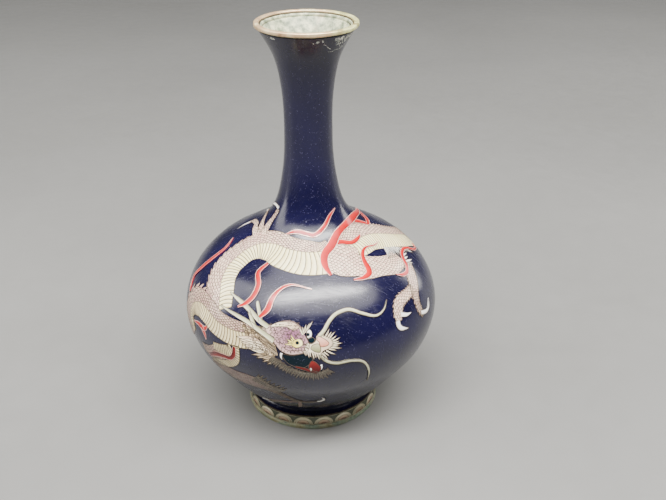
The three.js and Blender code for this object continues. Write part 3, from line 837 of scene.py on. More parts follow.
def build_border_pattern(looks):
    """A row of arches round the foot, each a pale crescent over a peach petal with a brown heart."""
    foot_wall = Wall(FOOT_LINE)
    crescents, petals, hearts, lines = (Relief(foot_wall) for _ in range(4))
    tall = foot_wall.length
    pitch = 360 / ARCHES

    def arch(middle, wide, high):
        """The half oval of an arch, from its left foot to its right one."""
        reach = wide * pitch / 2
        turns = [math.pi * k / 12 for k in range(13)]
        return [(middle - math.cos(t) * reach, 0.5 + math.sin(t) * high * tall) for t in turns]

    for i in range(ARCHES):
        middle = (i + 0.5) * pitch
        wear = 0.75 + 0.25 * math.sin(2.3 * i)
        outer, inner = arch(middle, *ARCH_OUTER), arch(middle, *ARCH_INNER)
        for relief, shape in ((crescents, outer + inner[::-1]), (petals, arch(middle, *PETAL))):
            relief.patch(shape, -0.2, 0.05, shade=lambda x, y, wear=wear: y * wear)
        hearts.patch(arch(middle, *HEART), UNDERSIDE, 0.08)
        for line in (outer, inner):
            lines.wire(line, UNDERSIDE, 0.09, 0.3)
    for climb in (0.2, tall - 0.2):
        circle = [(2 * i, climb) for i in range(180)]
        lines.wire(circle, UNDERSIDE, 0.10, 0.4, closed=True)
    for relief, name in ((crescents, "arches"), (petals, "petals"), (hearts, "hearts")):
        enamel = cell_enamel(f"{name}_enamel", *BORDER_COLOURS[name])
        relief.build(f"foot_{name}", enamel, "border_enamel")
    lines.build("foot_wires", looks.border_wire, "silver_wire")


# Fields of small chips under the mouth: middle angle, reach in degrees, deepest drop in mm, count.
CHIP_FIELDS = [(53, 16, 8, 52), (15, 11, 3.6, 9), (-50, 12, 1.6, 6), (165, 14, 2, 8)]
CRACKS = [
    [(21, 4.2), (25, 5.2), (29, 7), (34, 8.4)],
    [(31, 10), (38, 10.4), (46, 9.6), (53, 9.8), (60, 8.4)],
]


def flake(chance, angle, climb, size):
    """The ragged outline of one chip."""
    degrees = size / wall.mm_per_degree(climb)
    corners = []
    for k in range(9):
        turn = math.tau * k / 9
        reach = chance.uniform(0.6, 1.3)
        across, up = reach * degrees * math.cos(turn), reach * size * math.sin(turn)
        corners.append((angle + across, climb + up))
    return corners


def build_chips():
    """Chips and cracks under the mouth, which get smaller and rarer away from the collar."""
    top = wall.length - 1.3
    chance = random.Random(5)
    chips, cracks = Relief(), Relief()
    for middle, reach, deepest, count in CHIP_FIELDS:
        for i in range(count):
            share = chance.random() ** 1.5
            size = chance.uniform(0.35, 0.95) * (1.25 - share)
            angle = middle + reach * chance.uniform(-1, 1) * (1 - 0.4 * share)
            drop = 1.3 * size + deepest * share
            chips.patch(flake(chance, angle, top - drop, size), UNDERSIDE, 0.02 + 0.0005 * i)
    for shape in CRACKS:
        line = [(angle, top - drop) for angle, drop in smooth_line(shape, 5)]
        cracks.wire(line, UNDERSIDE, 0.02, 0.26)
    filler = chipped_filler()
    chips.build("mouth_chips", filler, "counter_enamel")
    cracks.build("mouth_cracks", filler, "counter_enamel")


# ---- Cells, scales and hair ----------------------------------------------------------------------

dice = random.Random(7)


def vary(amount):
    return dice.uniform(-amount, amount)


def evenly(line, count):
    """count + 1 chart places spread evenly along a chart line."""
    line = np.array(line, dtype=float)
    shares = np.linspace(0, len(line) - 1, count + 1)
    columns = [np.interp(shares, np.arange(len(line)), column) for column in line.T]
    return np.stack(columns, axis=1).tolist()


def between(first, second, share):
    return tuple(a + share * (b - a) for a, b in zip(first, second))


def outline_of(points):
    """A smooth closed outline through a few points."""
    return [tuple(point) for point in smooth_line(points, 5, closed=True).tolist()]


def disc(middle, wide, tall, count=14):
    """An oval on the chart, with its half width and half height in mm."""
    scale = wall.mm_per_degree(middle[1])
    turns = [2 * math.pi * i / count for i in range(count)]
    return [(middle[0] + math.cos(t) * wide / scale, middle[1] + math.sin(t) * tall) for t in turns]


def holds(outline, spot):
    """Whether a chart outline goes round a place."""
    inside = False
    for (ax, ay), (bx, by) in zip(outline, outline[1:] + outline[:1]):
        if (ay > spot[1]) != (by > spot[1]) and spot[0] < ax + (bx - ax) * (spot[1] - ay) / (by - ay):
            inside = not inside
    return inside


def lay_scale(cells, wires, band, along, share, half, reach, root, low):
    """One scale: a plate that climbs from its hidden root to its round tip, wired round the tip."""
    tone = vary(0.14)

    def spot(forward, across, lift, shade):
        place = band.place(along + forward, min(max(share + across * half, 0.0), 1.0))
        return place, lift, shade + tone

    def rise(forward):
        return low + SCALE_RISE * (forward + root) / (reach + root)

    turns = [math.radians(angle) for angle in (-90, -60, -35, -12, 12, 35, 60, 90)]
    rim = [spot(math.cos(t) * reach, math.sin(t), rise(math.cos(t) * reach), 1) for t in turns]
    back = [spot(-root, 0.35, low, 0), spot(-root, -0.35, low, 0)]
    centre = cells.vertex(*spot(reach * 0.1, 0, low + SCALE_RISE * 0.5, 0.45))
    cells.fan([cells.vertex(*corner) for corner in rim + back], centre)
    wires.wire([place for place, _, _ in rim], low, low + SCALE_RISE + WIRE_PROUD, 0.9 * WIRE)


def lay_scales(cells, wires, band, low, columns, pitch):
    """Rows of round scales along a band, staggered like roof tiles."""
    row = 0
    along = 0.4
    half = 0.5 / columns
    while along < band.length - 0.4:
        shift = row % 2
        for column in range(columns + shift):
            share = (column + 0.5 - 0.5 * shift) / columns
            here, across = along + vary(0.12), share + vary(0.05) * half
            lay_scale(cells, wires, band, here, across, half, 1.22 * pitch, pitch, low)
        along += pitch
        row += 1


def lay_plates(cells, wires, band, low, pitch, bow):
    """Belly plates across a band, each bowed forwards and shaded from root to edge."""
    count = round(band.length / pitch)
    shares = [k / 6 for k in range(7)]

    def crossing(i):
        start = band.length * i / count
        return [band.place(start + bow * (1 - (2 * share - 1) ** 2), share) for share in shares]

    for i in range(count):
        tone = vary(0.12)
        rows = []
        for step, level in ((-0.35, 0), (0.35, 0.6), (1.0, 1)):
            line = crossing(i + step)
            rows.append([cells.vertex(place, low + PLATE_RISE * level, level + tone) for place in line])
        cells.grid(rows)
        wires.wire(line, low, low + PLATE_RISE + WIRE_PROUD, 1.35 * WIRE)


def lay_edges(wires, band, low, high, shares=(0, 1), width=WIRE):
    for share in shares:
        wires.wire(band.edge(share), low, high, width)


def lay_scaled_cell(cells, wires, band, level, columns, pitch, tone=0.0, shares=(0, 1)):
    """A cell of one dark tone under rows of scales, wired along its edges."""
    cells.band(band, level, tone)
    lay_scales(cells, wires, band, level + SCALE_SEAT, columns, pitch)
    lay_edges(wires, band, level, level + SCALE_SEAT + SCALE_RISE + WIRE_PROUD, shares)


def lay_strand(cells, wires, points, low, width=WIRE):
    """A smooth tapering strip with a wire down each edge."""
    band = Band(points)
    cells.band(band, low + CELL_PROUD)
    lay_edges(wires, band, low, low + CELL_PROUD + WIRE_PROUD, width=width)


def lay_patch(cells, wires, outline, low, proud=CELL_PROUD, shade=None, cell=1.6):
    """A flat cell inside a wired outline."""
    cells.patch(outline, UNDERSIDE, low + proud, shade, cell)
    wires.wire(outline, low, low + proud + WIRE_PROUD, closed=True)


def lay_fringe(cells, wires, base, tips, count, low, reach, uneven_by=0.24):
    """Tapering hairs from along one line to along another, every other one shorter."""
    feet, ends = (evenly(smooth_line(line, 6), count) for line in (base, tips))
    for i, (foot, end) in enumerate(zip(feet, ends)):
        tip = between(foot, end, 1 - uneven_by * (i % 2) + vary(0.06))
        middle = between(foot, tip, 0.5)
        bent = (middle[0] + vary(0.2), middle[1] + vary(0.2), 0.8 * reach)
        points = [(*foot, reach), bent, (*tip, 0.06)]
        lay_strand(cells, wires, points, low + 0.015 * (i % 3), 0.7 * WIRE)


def lay_curls(wires, outline, low, size):
    """Scroll-shaped wires in staggered rows all over a cell."""
    scale = wall.mm_per_degree(outline[0][1])
    angles, climbs = zip(*outline)
    pitch = 1.9 * size
    for row in range(int((max(climbs) - min(climbs)) / (0.8 * pitch)) + 1):
        for column in range(int((max(angles) - min(angles)) * scale / pitch) + 2):
            angle = min(angles) + (column + 0.5 * (row % 2)) * pitch / scale + vary(0.3)
            climb = min(climbs) + row * 0.8 * pitch + vary(0.3)
            begin = dice.uniform(0, 360)
            if not holds(outline, (angle, climb)):
                continue
            path = []
            for step in range(7):
                turn = math.radians(begin + 40 * step)
                radius = size * (1.1 - 0.12 * step)
                path.append((angle + math.cos(turn) * radius / scale, climb + math.sin(turn) * radius))
            wires.wire(path, low, low + CELL_PROUD + WIRE_PROUD, 1.3 * WIRE)


def lay_spines(cells, wires, band, low, pitch, height, start=0.0, end=1.0, share=1):
    """A crest of curved spines along one edge of a band, leaning along it."""
    side = 1 if share else -1
    face = low + 0.04
    along = start * band.length
    while along < end * band.length:
        reach = height * (1 + vary(0.15))
        spots = (  # foot, bend, tip, hollow and heel: mm forward, mm out and shade
            (0, -0.2, 0.4), (0.5 * pitch, 0.45 * reach, 0.6), (1.15 * pitch, reach, 1),
            (0.95 * pitch, 0.3 * reach, 0.6), (0.95 * pitch, -0.2, 0.4),
        )
        outline = [band.place(along + forward, share, side * out) for forward, out, _ in spots]
        rim = [cells.vertex(place, face, spot[2]) for place, spot in zip(outline, spots)]
        centre = band.place(along + 0.6 * pitch, share, side * 0.4)
        cells.fan(rim, cells.vertex(centre, face, 0.5))
        wires.wire(outline[:4], low, face + WIRE_PROUD, 0.8 * WIRE)
        along += pitch


def build_strands(name, strips, wires, level, enamel, slot, width=WIRE):
    """A piece made of smooth tapering strips."""
    cells = Relief()
    for points in strips:
        lay_strand(cells, wires, points, level, width)
    cells.build(name, enamel, slot)


# ---- The dragon ----------------------------------------------------------------------------------

# Levels in mm above the ground, from the body that lies behind to the horns that lie in front.
TRUNK_LEVEL = 0.03
LIMB_LEVEL = 0.14
NECK_LEVEL = 0.20
HEAD_LEVEL = 0.28
FRONT_LEVEL = 0.36

NECK_LINE = [
    (-64, 73), (-69, 81), (-67.6, 90), (-61, 94.6), (-53, 94), (-45, 91.4), (-34, 91), (-22, 93.4),
]
NECK_BACK = [10, 11.6, 10, 7.4, 6.6, 6.4, 6, 4]
NECK_BELLY = [3, 6, 7.6, 8.4, 8.4, 8.6, 9.4, 9]
CHEST = [(-57, 66, 4, 3), (-50, 66.6, 6, 3.6), (-44, 69, 8, 6), (-38, 72, 8, 3)]
CHEST_PLATES = [
    (-51, 62.6, 2.2, 2.2), (-45, 63.2, 2.6, 2.4), (-38.6, 66.6, 2.8, 2.6), (-34.6, 71, 2.6, 2.4),
    (-33.4, 76, 2.2, 2.2), (-33.6, 82, 2.2, 2.2),
]
BREAST_PLATES = [
    (-47, 75.4, 2.2, 2.6), (-42, 75.6, 3.4, 3.6), (-37.6, 76.4, 4.4, 4), (-35.4, 78.4, 4, 3),
]
TRUNK_LINE = [
    (-47, 98), (-50.6, 106), (-56, 115), (-59.4, 126), (-58, 138), (-50, 145.6), (-36, 148.6),
    (-20, 147.4), (-4, 146.2), (10, 146.4),
]
TRUNK_BACK = [7, 10, 12, 11.6, 10.4, 9.6, 8.4, 8, 8, 6.4]
TRUNK_END, TRUNK_END_BACK = (20, 149.4), 4.6  # the back runs on behind a flame
TRUNK_BELLY = [9.6, 10.4, 10.8, 11, 10.8, 11.4, 12.4, 14, 15.4, 15.6]
TAIL_LINE = [
    (31, 147.2), (45, 147), (60, 146.8), (72, 143.6), (84, 136.4), (96, 125), (108, 112), (122, 100),
    (140, 93), (158, 93.6), (174, 100), (190, 105.4), (203, 103.4),
]
TAIL_BACK = [6, 9.6, 10.4, 9.8, 9, 8.2, 7.6, 7, 6.4, 5.4, 4.6, 3.8, 3]
TAIL_BELLY = [8, 11, 11.4, 12, 11.8, 11, 9.4, 7.8, 6.6, 5.6, 4.6, 3.6, 2.6]
RUMP = [(12.8, 138.6, 7), (20, 138.4, 10.2), (28, 137.2, 11), (38, 133.4, 10)]
THIGH = [(35, 130.6, 9), (40, 128.8, 8.2), (48, 126, 7), (58, 122.4, 6.8), (68, 122.6, 5.4)]


def beside(line, reaches, side):
    """The band on one side of a line: 1 is its left, -1 its right."""
    sides = [(reach, 0) if side > 0 else (0, reach) for reach in reaches]
    return Band([(*place, *both) for place, both in zip(line, sides)])


def build_trunk(looks):
    def back(name, band, level, columns, enamel, **crest):
        cells = Relief()
        lay_scaled_cell(cells, looks.wires, band, level, columns, SCALE_PITCH, shares=(1,))
        if crest:
            lay_spines(cells, looks.wires, band, level, **crest)
        cells.build(name, enamel, "scale_enamel")

    def belly(name, band, level, pitch, enamel, bow=0.9):
        cells = Relief()
        cells.band(band, level, 0.0)
        lay_plates(cells, looks.wires, band, level + SCALE_SEAT, pitch, bow)
        lay_edges(looks.wires, band, level, level + SCALE_SEAT + PLATE_RISE + WIRE_PROUD)
        cells.build(name, enamel, "belly_enamel")

    spines = {"pitch": 3.0, "height": 1.5}
    mane = {"pitch": 3.4, "height": 3.2, "start": 0.16, "end": 0.42}
    tail = beside(TAIL_LINE, TAIL_BACK, 1)
    trunk = beside([*TRUNK_LINE, TRUNK_END], [*TRUNK_BACK, TRUNK_END_BACK], 1)
    neck = beside(NECK_LINE, NECK_BACK, 1)
    back("tail_scales", tail, TRUNK_LEVEL, 5, looks.scales, **spines)
    belly("tail_belly", beside(TAIL_LINE, TAIL_BELLY, -1), TRUNK_LEVEL, 2.1, looks.belly)
    back("trunk_scales", trunk, TRUNK_LEVEL, 5, looks.scales, end=0.5, **spines)
    belly("trunk_belly", beside(TRUNK_LINE, TRUNK_BELLY, -1), TRUNK_LEVEL, 2.35, looks.belly)
    # Chest, breast and neck take the darker copies of the scales and belly enamels: painted shade.
    back("chest_scales", Band(CHEST), TRUNK_LEVEL + 0.06, 6, looks.low_scales)
    belly("breast_plates", Band(BREAST_PLATES), TRUNK_LEVEL + 0.13, 1.5, looks.low_belly, bow=0.4)
    belly("chest_plates", Band(CHEST_PLATES), TRUNK_LEVEL + 0.13, 1.7, looks.low_belly, bow=0.4)
    back("neck_scales", neck, NECK_LEVEL, 4, looks.low_scales, **mane)
    belly("neck_belly", beside(NECK_LINE, NECK_BELLY, -1), NECK_LEVEL, 2.1, looks.low_belly)


LIMBS = {
    "hind_leg": [
        [(70.6, 117, 3.2), (66.8, 112.4, 4), (62.8, 107, 4.3), (59, 101.4, 3.5), (57, 95, 2.5),
         (57.2, 89.6, 2.2), (58.4, 84.6, 1.4)],
        [(60, 103.2, 2.8), (53, 102.8, 2.9), (45.8, 101.6, 3.5), (42.6, 96.6, 3.3), (41.6, 91.8, 2.3)],
    ],
    "upper_foreleg": [
        [(-59, 150, 3), (-63.6, 157, 2.4), (-64, 162.6, 1.7), (-61.4, 168.6, 1.5)],
        [(-65, 151, 2.6), (-78, 155, 1.7), (-90, 158.8, 1.3), (-100, 160.2, 1)],
        [(-64, 148, 2.6), (-78.6, 149.6, 1.9), (-86, 151, 1.6), (-97, 148.4, 1.5), (-98, 144.6, 1.1)],
    ],
    "lower_foreleg": [
        [(-52, 62, 4, 5), (-45, 58.6, 5, 6), (-37, 56.4, 5.4, 7), (-29, 55.6, 6.4, 6.4),
         (-22, 54, 4.4, 5.4), (-17.4, 48, 2.6, 3), (-13.6, 40.6, 2, 2.4), (-10, 34.6, 1.8, 2),
         (-5, 32, 1.4, 1.4), (2.4, 32.8, 1.1, 1.1)],
        [(-9, 31.6, 1.4), (-16.3, 29, 1.2), (-24.3, 25.9, 1), (-31, 22, 0.6)],
        [(-8, 31, 1.2), (-8, 25, 1), (-9, 19, 0.7)],
    ],
}
CLAWS = {
    "hind_claw_inner": [
        [(40.8, 92, 1.7), (40.8, 89, 1.6), (42.4, 86.6, 1.3), (46.4, 84.6, 0.1)],
        [(43.8, 94.6, 1.4), (47, 92.8, 1.1), (50.6, 92.2, 0.1)],
    ],
    "hind_claw_outer": [[(57.6, 87.4, 1.3), (61.8, 85.4, 1.3), (65.4, 86, 1), (68, 90, 0.1)]],
    "upper_claw_high": [[(-62, 169.4, 1), (-72, 170, 0.9), (-86, 168.6, 0.7), (-97, 165.6, 0.1)]],
    "upper_claw_low": [
        [(-99, 160, 1), (-105, 158.8, 0.7), (-111, 156.6, 0.1)],
        [(-98, 145.4, 1.1), (-98.2, 141, 0.8), (-97, 136, 0.1)],
    ],
    "lower_claw_near": [[(2.4, 33, 1.1), (4.8, 34, 1), (5.8, 37.4, 0.8), (4.4, 41.6, 0.1)]],
    "lower_claw_far": [[(-30.4, 22.4, 0.8), (-34, 19.6, 0.6), (-38, 17.4, 0.1)]],
}


def build_limbs(looks):
    for name, points, columns in (("rump", RUMP, 9), ("thigh", THIGH, 7)):
        cells = Relief()
        lay_scaled_cell(cells, looks.wires, Band(points), LIMB_LEVEL, columns, 1.7, shares=(0,))
        cells.build(name, looks.limb, "limb_enamel")
    for name, strips in LIMBS.items():
        cells = Relief()
        for band in map(Band, strips):
            columns = max(1, round(band.width(0.3 * band.length) / 1.9))
            lay_scaled_cell(cells, looks.wires, band, LIMB_LEVEL, columns, 1.6, tone=0.2)
            if name == "hind_leg":
                level = LIMB_LEVEL - 0.02
                for height, share in ((1.0, 0), (0.8, 1)):
                    lay_spines(cells, looks.wires, band, level, 2.4, height, 0.1, 0.9, share)
        # The lower foreleg takes the darker copy of the limb enamel: painted shade.
        enamel = looks.dim_limb if name == "lower_foreleg" else looks.limb
        cells.build(name, enamel, "limb_enamel")
    for name, strips in CLAWS.items():
        build_strands(name, strips, looks.wires, LIMB_LEVEL + 0.08, looks.claw, "claw_enamel")


# Each flame's main tongue comes first, and covers where its branches start.
FLAMES = {
    "flame_rump": [
        [(13, 129.6, 1), (10.4, 137, 2.1), (12.4, 144, 2.4), (21, 149.4, 2.6), (32, 155.4, 2.3),
         (46, 158.4, 2), (66, 159.4, 2.4), (88, 157.8, 2), (110, 152.4, 1.5), (126, 146, 0.6)],
        [(24, 151, 1.9), (33, 149.8, 1.7), (42, 147.2, 1.5), (52, 147.6, 1.2), (60, 149, 0.1)],
        [(126, 146.4, 0.6), (118, 150, 1), (106, 149.6, 1.3), (97, 148, 1.4), (86, 147.6, 1)],
        [(70, 158, 1.5), (79, 154, 1.4), (86, 148, 1.2)],
    ],
    "flame_thigh": [
        [(26, 123.8, 0.5), (32.4, 123.3, 1.3), (37.5, 124.7, 1.8), (39.4, 128.4, 1.9), (40, 132, 1.6),
         (42, 136.2, 1.3), (46, 139.2, 1), (52, 140, 0.6), (60.4, 138, 0.35), (68.4, 137.8, 0.1)],
    ],
    "flame_knee": [
        [(54, 116, 0.3), (58.2, 113.3, 1.1), (62.8, 112.8, 1.3), (66.4, 115.2, 1.4), (69, 119, 1.3),
         (73, 121.6, 1.2), (79, 121.6, 1.1), (84, 118.4, 1), (89, 112.8, 0.9), (95.6, 109.6, 0.7),
         (97.6, 112, 0.1)],
    ],
    "flame_neck": [
        [(-30, 156.4, 0.2), (-22, 158.6, 1), (-14, 159.2, 1.3), (-4, 158.2, 1.3), (6, 157.6, 1.3),
         (20, 162.2, 1.2), (32, 167.6, 0.9), (46, 171, 0.1)],
    ],
    "flame_left": [
        [(-84, 134, 0.1), (-77.6, 128, 0.9), (-76.6, 119.6, 1.3), (-79, 108.6, 1.4), (-81.6, 99, 1.1),
         (-77.6, 91, 0.2)],
    ],
    "flame_upper": [
        [(-32, 135, 0.8), (-35, 128, 1.3), (-31, 121, 1.5), (-30.6, 114.6, 1.5), (-33, 108.6, 1.3),
         (-37, 104.6, 0.4)],
    ],
    "flame_lower": [
        [(0.4, 121.4, 0.1), (-9, 123.8, 0.4), (-14, 123, 0.7), (-18, 119.4, 1), (-20.4, 114, 1.5),
         (-21.4, 107.6, 1.7), (-24.4, 102.6, 0.9)],
    ],
    "flame_chest": [
        [(-34.4, 81, 1.1), (-34.8, 76, 1.4), (-37, 72.2, 1.4), (-41, 71.4, 1.5), (-46, 69.6, 1.8),
         (-52, 64.8, 1.4)],
    ],
}
EXTRA_FLAMES = [
    [(-64, 80.6, 0.2), (-59, 82, 1.2), (-54, 82, 1.5), (-51.6, 85.6, 0.3)],
    [(-56, 82, 1.3), (-53.4, 78.6, 1.1), (-52.6, 75.4, 0.1)],
]


def build_flames(looks):
    wires = looks.bright_wires
    for name, (tongue, *branches) in FLAMES.items():
        cells = Relief()
        lay_strand(cells, wires, tongue, FRONT_LEVEL + 0.09, 0.9 * WIRE)
        for points in branches:
            lay_strand(cells, wires, points, FRONT_LEVEL, 0.9 * WIRE)
        enamel = looks.dark_flame if name == "flame_chest" else looks.flame
        cells.build(name, enamel, "flame_enamel")
    build_strands("flame_in_loop", EXTRA_FLAMES, wires, TRUNK_LEVEL, looks.flame, "flame_enamel")
    tip = Relief()
    for bend, size in ((-6, 0.8), (0, 1.0), (6, 0.8)):
        points = [
            (203, 103.4 + 0.3 * bend, 1.6), (209, 100.6 + bend, 2.2 * size),
            (216, 94 + 1.3 * bend, 2 * size), (221, 86 + 1.6 * bend, 1.2 * size),
            (223, 79 + 2 * bend, 0.3),
        ]
        lay_strand(tip, wires, points, TRUNK_LEVEL + 0.05 + 0.02 * size)
    tip.build("tail_tip", looks.flame, "flame_enamel")


HORNS = {
    "horn_near": [
        [(-16.4, 90.6, 1.5), (-21, 93.8, 1.4), (-28.6, 97.8, 1.3), (-36, 99.8, 1.1),
         (-47, 101.2, 0.3)],
        [(-25.4, 96.2, 1.2), (-28, 100.4, 1.1), (-30.6, 104.8, 0.6)],
    ],
    "horn_far": [
        [(-19.6, 98, 1.4), (-24.6, 100.9, 1.4), (-29.6, 104.6, 1.3), (-36, 107.8, 1.3),
         (-45, 110.6, 0.3)],
        [(-23.4, 100.4, 1.2), (-25, 105, 1.1), (-27, 109.4, 1), (-27.6, 111, 0.5)],
    ],
    "whisker_upper": [
        [(3, 94.6, 1.1), (5.2, 97.4, 1.1), (8, 102.6, 1.05), (12, 106.4, 1), (18, 107.4, 0.95),
         (24, 103.6, 0.9), (30, 100.2, 0.75), (35, 101.6, 0.5), (39, 106.4, 0.1)],
    ],
    "whisker_lower": [
        [(3, 83.4, 0.9), (6, 79.4, 0.9), (10, 77.4, 0.85), (16, 77.6, 0.8), (21.6, 75, 0.8),
         (24.6, 66.6, 0.6), (25, 57, 0.1)],
    ],
}
SKULL = outline_of([
    (-22.6, 96.2), (-18, 99.6), (-13, 102.4), (-8.6, 102.6), (-5.2, 100.2), (-3.7, 96.4), (-2, 92.6),
    (-1.2, 89.4), (-2, 86), (-5, 84.4), (-9, 83.6), (-12.8, 85.2), (-15.6, 88.8), (-19, 93),
])
BROW = outline_of([
    (-18.6, 98.4), (-15, 101.4), (-9, 102.2), (-5.6, 99.8), (-8, 97.6), (-11, 99.2), (-14.6, 99),
])
SNOUT = outline_of([
    (-2.4, 90.6), (-0.4, 90.2), (1.4, 91.6), (2, 94.6), (4.4, 95), (7.4, 93), (8.8, 90), (7.4, 87.4),
    (4.6, 85.8), (3, 83.6), (0, 85), (-3, 85.6),
])
CHIN_PATCH = outline_of([(-0.6, 87.4), (0.4, 89.6), (3, 89.8), (3.4, 85.4), (1.4, 85.4)])
NOSE = outline_of([(2, 92.4), (2.6, 94.2), (4.8, 93), (7, 90.4), (6, 88.6), (3.4, 88.4), (3, 90.8)])
MOUTH = outline_of([
    (-12.2, 83.4), (-8, 83), (-4, 84.4), (-1, 84), (0, 80.4), (-1.6, 77.4), (-4, 75.6), (-8.6, 76.8),
    (-11.4, 80),
])
TONGUE = outline_of([(-0.4, 80), (1.6, 78.8), (3.4, 75), (2, 71.6), (-0.6, 73), (-1.6, 76.2)])
GUM = [(-7, 76, 0.5), (-4, 74.9, 0.8), (-0.8, 73, 0.9), (2, 71.4, 0.8)]
EYE_NEAR = outline_of([(-8.8, 89.4), (-7.4, 92), (-5.6, 93), (-4.1, 91.8), (-4.2, 89.2), (-6.6, 87.8)])
EYE_FAR = disc((-1.2, 95.7), 1.55, 2.6)
SOCKET = disc((-0.3, 92.3), 1.9, 1.7)
PUPILS = [((-6.2, 90.7), 0.95), ((-1.7, 95.5), 0.9)]
FANGS = [
    [(-12.8, 83.8, 0.7), (-13, 82, 0.6), (-12.4, 80, 0.1)],
    [(3.6, 77, 0.5), (3.8, 75.6, 0.5), (3.4, 73.8, 0.1)],
    [(-0.8, 75.2, 0.5), (-0.6, 74.4, 0.5), (-0.7, 73.4, 0.2)],
]
MANE = outline_of([
    (-32, 95.6), (-26, 94.6), (-21.6, 91.4), (-17.6, 87), (-15.2, 82.4), (-17.6, 81.2), (-22, 85),
    (-28, 89.6),
])
JAW_LINE = [(-17, 80), (-13.2, 77.2), (-10, 74.2), (-4.6, 70.9), (0, 70.4), (4, 70.8), (6.6, 72.6)]
JAW_TIPS = [(-19, 76.6), (-14.6, 73.8), (-11, 70.6), (-6, 66.4), (0.4, 65.4), (5.4, 66.6), (9, 70.6)]
# Hair: the line of its roots and of its tips, how many hairs after the first, its level, the half
# width of a root, and how much shorter every other hair is if that isn't the usual share.
MANE_HAIRS = [
    ([(-14.4, 82.6), (-15.6, 88)], [(-24, 90.6), (-26.4, 96.6)], 7, HEAD_LEVEL, 0.5),
    ([(-19.6, 82), (-14.8, 79.4)], [(-25.6, 79.8), (-19, 75.4)], 6, HEAD_LEVEL - 0.03, 0.7),
]
JAW_HAIRS = [
    (JAW_LINE, JAW_TIPS, 30, HEAD_LEVEL + 0.02, 0.55),
    (JAW_LINE, [(-13, 79.4), (-7, 74.6), (0, 72.6), (6, 75)], 16, HEAD_LEVEL + 0.04, 0.4),
]
SNOUT_RIM = [(3.6, 94.4), (7, 92.8), (8.4, 90), (7.2, 87.2), (4, 84.4)]
SNOUT_TIPS = [(5.4, 99), (9.6, 97), (12.8, 91), (12, 85.6), (6.4, 80.2)]
LIP_RIM = [(-3.4, 86), (0, 85), (3.6, 84)]
LIP_TIPS = [(-2.6, 83), (0.6, 80.8), (5, 80.4)]
FRILL = [
    (SNOUT_RIM, SNOUT_TIPS, 14, HEAD_LEVEL + 0.02, 0.55),
    (LIP_RIM, LIP_TIPS, 8, HEAD_LEVEL + 0.08, 0.5),
    ([(-3.8, 95.4), (-2.2, 97.8)], [(-5.6, 100), (0.4, 102.8)], 4, HEAD_LEVEL + 0.08, 0.6, 0.1),
]
LASHES = [([(-8.4, 89.6), (-7.4, 91.8)], [(-12, 89.6), (-9.4, 95.4)], 4, HEAD_LEVEL + 0.1, 0.5)]
ELBOW_TUFT = [([(-28, 58), (-17, 49)], [(-23, 66), (-11, 55)], 15, LIMB_LEVEL + 0.02, 0.55)]
TUFTS = [  # at the heel, and between tail and thigh
    ([(70, 121), (69.4, 115)], [(78, 118.6), (75, 112)], 3, LIMB_LEVEL, 0.8),
    ([(66, 133), (74, 128)], [(59, 125.6), (72, 121.6)], 8, LIMB_LEVEL + 0.08, 0.4, 0),
    ([(76, 127), (80, 121)], [(72, 122), (86, 112)], 5, TRUNK_LEVEL, 0.5),
]


def build_hair(looks):
    wires = looks.head_wires

    def add_hairs(cells, hairs, hair_wires=wires):
        for hair in hairs:
            lay_fringe(cells, hair_wires, *hair)

    def mottled(x, y):
        return 0.5 + 0.5 * math.sin(24 * x) * math.sin(17 * y + 8 * x)

    # The mane's scrolled cell, with leaf-shaped locks under it and long hairs over its cheek end.
    mane, leaves, jaw = Relief(), Relief(), Relief()
    lay_patch(mane, wires, MANE, HEAD_LEVEL - 0.05, shade=mottled, cell=0.8)
    lay_curls(wires, MANE, HEAD_LEVEL - 0.05, 1.1)
    for i in range(5):
        angle, climb, lean = -16.2 - 1.3 * i, 82.6 + 1.35 * i, 0.17 * i
        points = [
            (angle, climb, 0.8), (angle - 4, climb + 0.3 + lean, 1.5), (angle - 8, climb + 0.8, 1.2),
            (angle - 12.4, climb + 0.6 - lean, 0.1),
        ]
        lay_strand(leaves, wires, points, HEAD_LEVEL - 0.06 + 0.012 * i, 0.8 * WIRE)
    leaves.build("mane_leaves", looks.snout, "mane_enamel")
    add_hairs(mane, MANE_HAIRS)
    mane.build("mane", looks.mane, "mane_enamel")

    lay_strand(jaw, wires, [(*place, 1.5) for place in JAW_LINE], HEAD_LEVEL)
    add_hairs(jaw, JAW_HAIRS)
    jaw.build("lower_jaw", looks.jaw, "mane_enamel")

    for name, hairs, hair_wires, enamel, slot in (
        ("frill", FRILL, wires, looks.spike, "claw_enamel"),
        ("lashes", LASHES, wires, looks.eye, "eye_enamel"),
        ("elbow_tuft", ELBOW_TUFT, looks.wires, looks.jaw, "mane_enamel"),
        ("tufts", TUFTS, looks.wires, looks.claw, "claw_enamel"),
    ):
        tuft = Relief()
        add_hairs(tuft, hairs, hair_wires)
        tuft.build(name, enamel, slot)


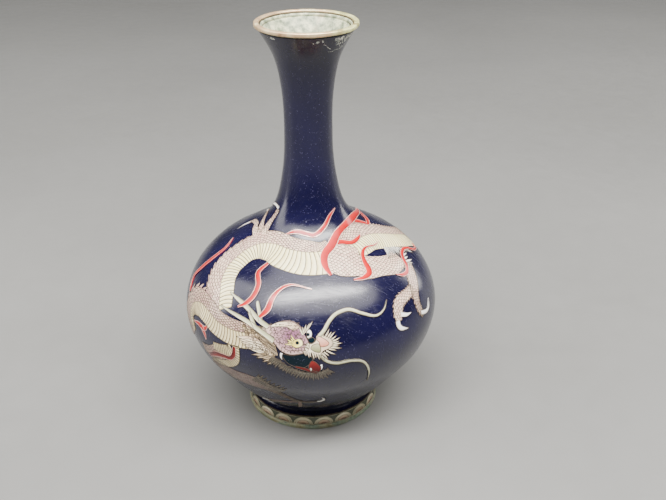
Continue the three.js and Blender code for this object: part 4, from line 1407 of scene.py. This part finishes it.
def build_head(looks):
    level = HEAD_LEVEL
    wires = looks.head_wires

    def cell(name, shapes, enamel, slot, proud, shade=None, size=0.8):
        """One piece of flat cells inside their outlines."""
        made = Relief()
        for outline in shapes:
            lay_patch(made, wires, outline, level, proud, shade, cell=size)
        made.build(name, enamel, slot)

    # Lilac towards the top right of the skull, cream at its back and under it.
    def lilac(x, y):
        return max(0.0, 1.05 - 1.5 * math.hypot(x - 0.66, 0.8 * (y - 0.60)))

    cell("skull", [SKULL], looks.skull, "skull_enamel", 0.05, lilac, 1.2)
    lay_curls(wires, SKULL, level, 1.15)
    cell("brow", [BROW], looks.snout, "snout_enamel", 0.09, lambda x, y: 1 - x, 1.6)
    cell("snout", [SNOUT], looks.snout, "snout_enamel", 0.07, lambda x, y: 1.1 - x)
    cell("chin_patch", [CHIN_PATCH], looks.olive, "mane_enamel", 0.10)
    cell("nose", [NOSE], looks.nose, "snout_enamel", 0.12)
    cell("eye_near", [EYE_NEAR], looks.eye, "eye_enamel", 0.10, lambda x, y: x)
    cell("eye_far", [EYE_FAR], looks.claw, "eye_enamel", 0.14)
    cell("mouth", [MOUTH], looks.dark, "ground_enamel", 0.02, size=1.6)
    pupils = [disc(middle, size, size, 10) for middle, size in PUPILS]
    cell("socket_and_pupils", [SOCKET, *pupils], looks.dark, "ground_enamel", 0.16, size=0.6)
    cell("tongue", [TONGUE], looks.dark_flame, "flame_enamel", 0.12)

    build_strands("gum", [GUM], wires, level + 0.06, looks.dark_flame, "flame_enamel")
    build_strands("teeth", FANGS, wires, level + 0.14, looks.claw, "claw_enamel", 0.6 * WIRE)
    for name, strips in HORNS.items():
        build_strands(name, strips, wires, FRONT_LEVEL + 0.02, looks.horn, "horn_enamel")


# ---- All together --------------------------------------------------------------------------------

make_camera()
add_lights()
lay_floor()
looks = Looks()
build_copper(looks)
build_enamel_layers(looks)
build_mouth(looks)
build_chips()
build_foot(looks)
build_border_pattern(looks)
build_trunk(looks)
build_limbs(looks)
build_hair(looks)
build_head(looks)
build_flames(looks)
looks.build_wires()
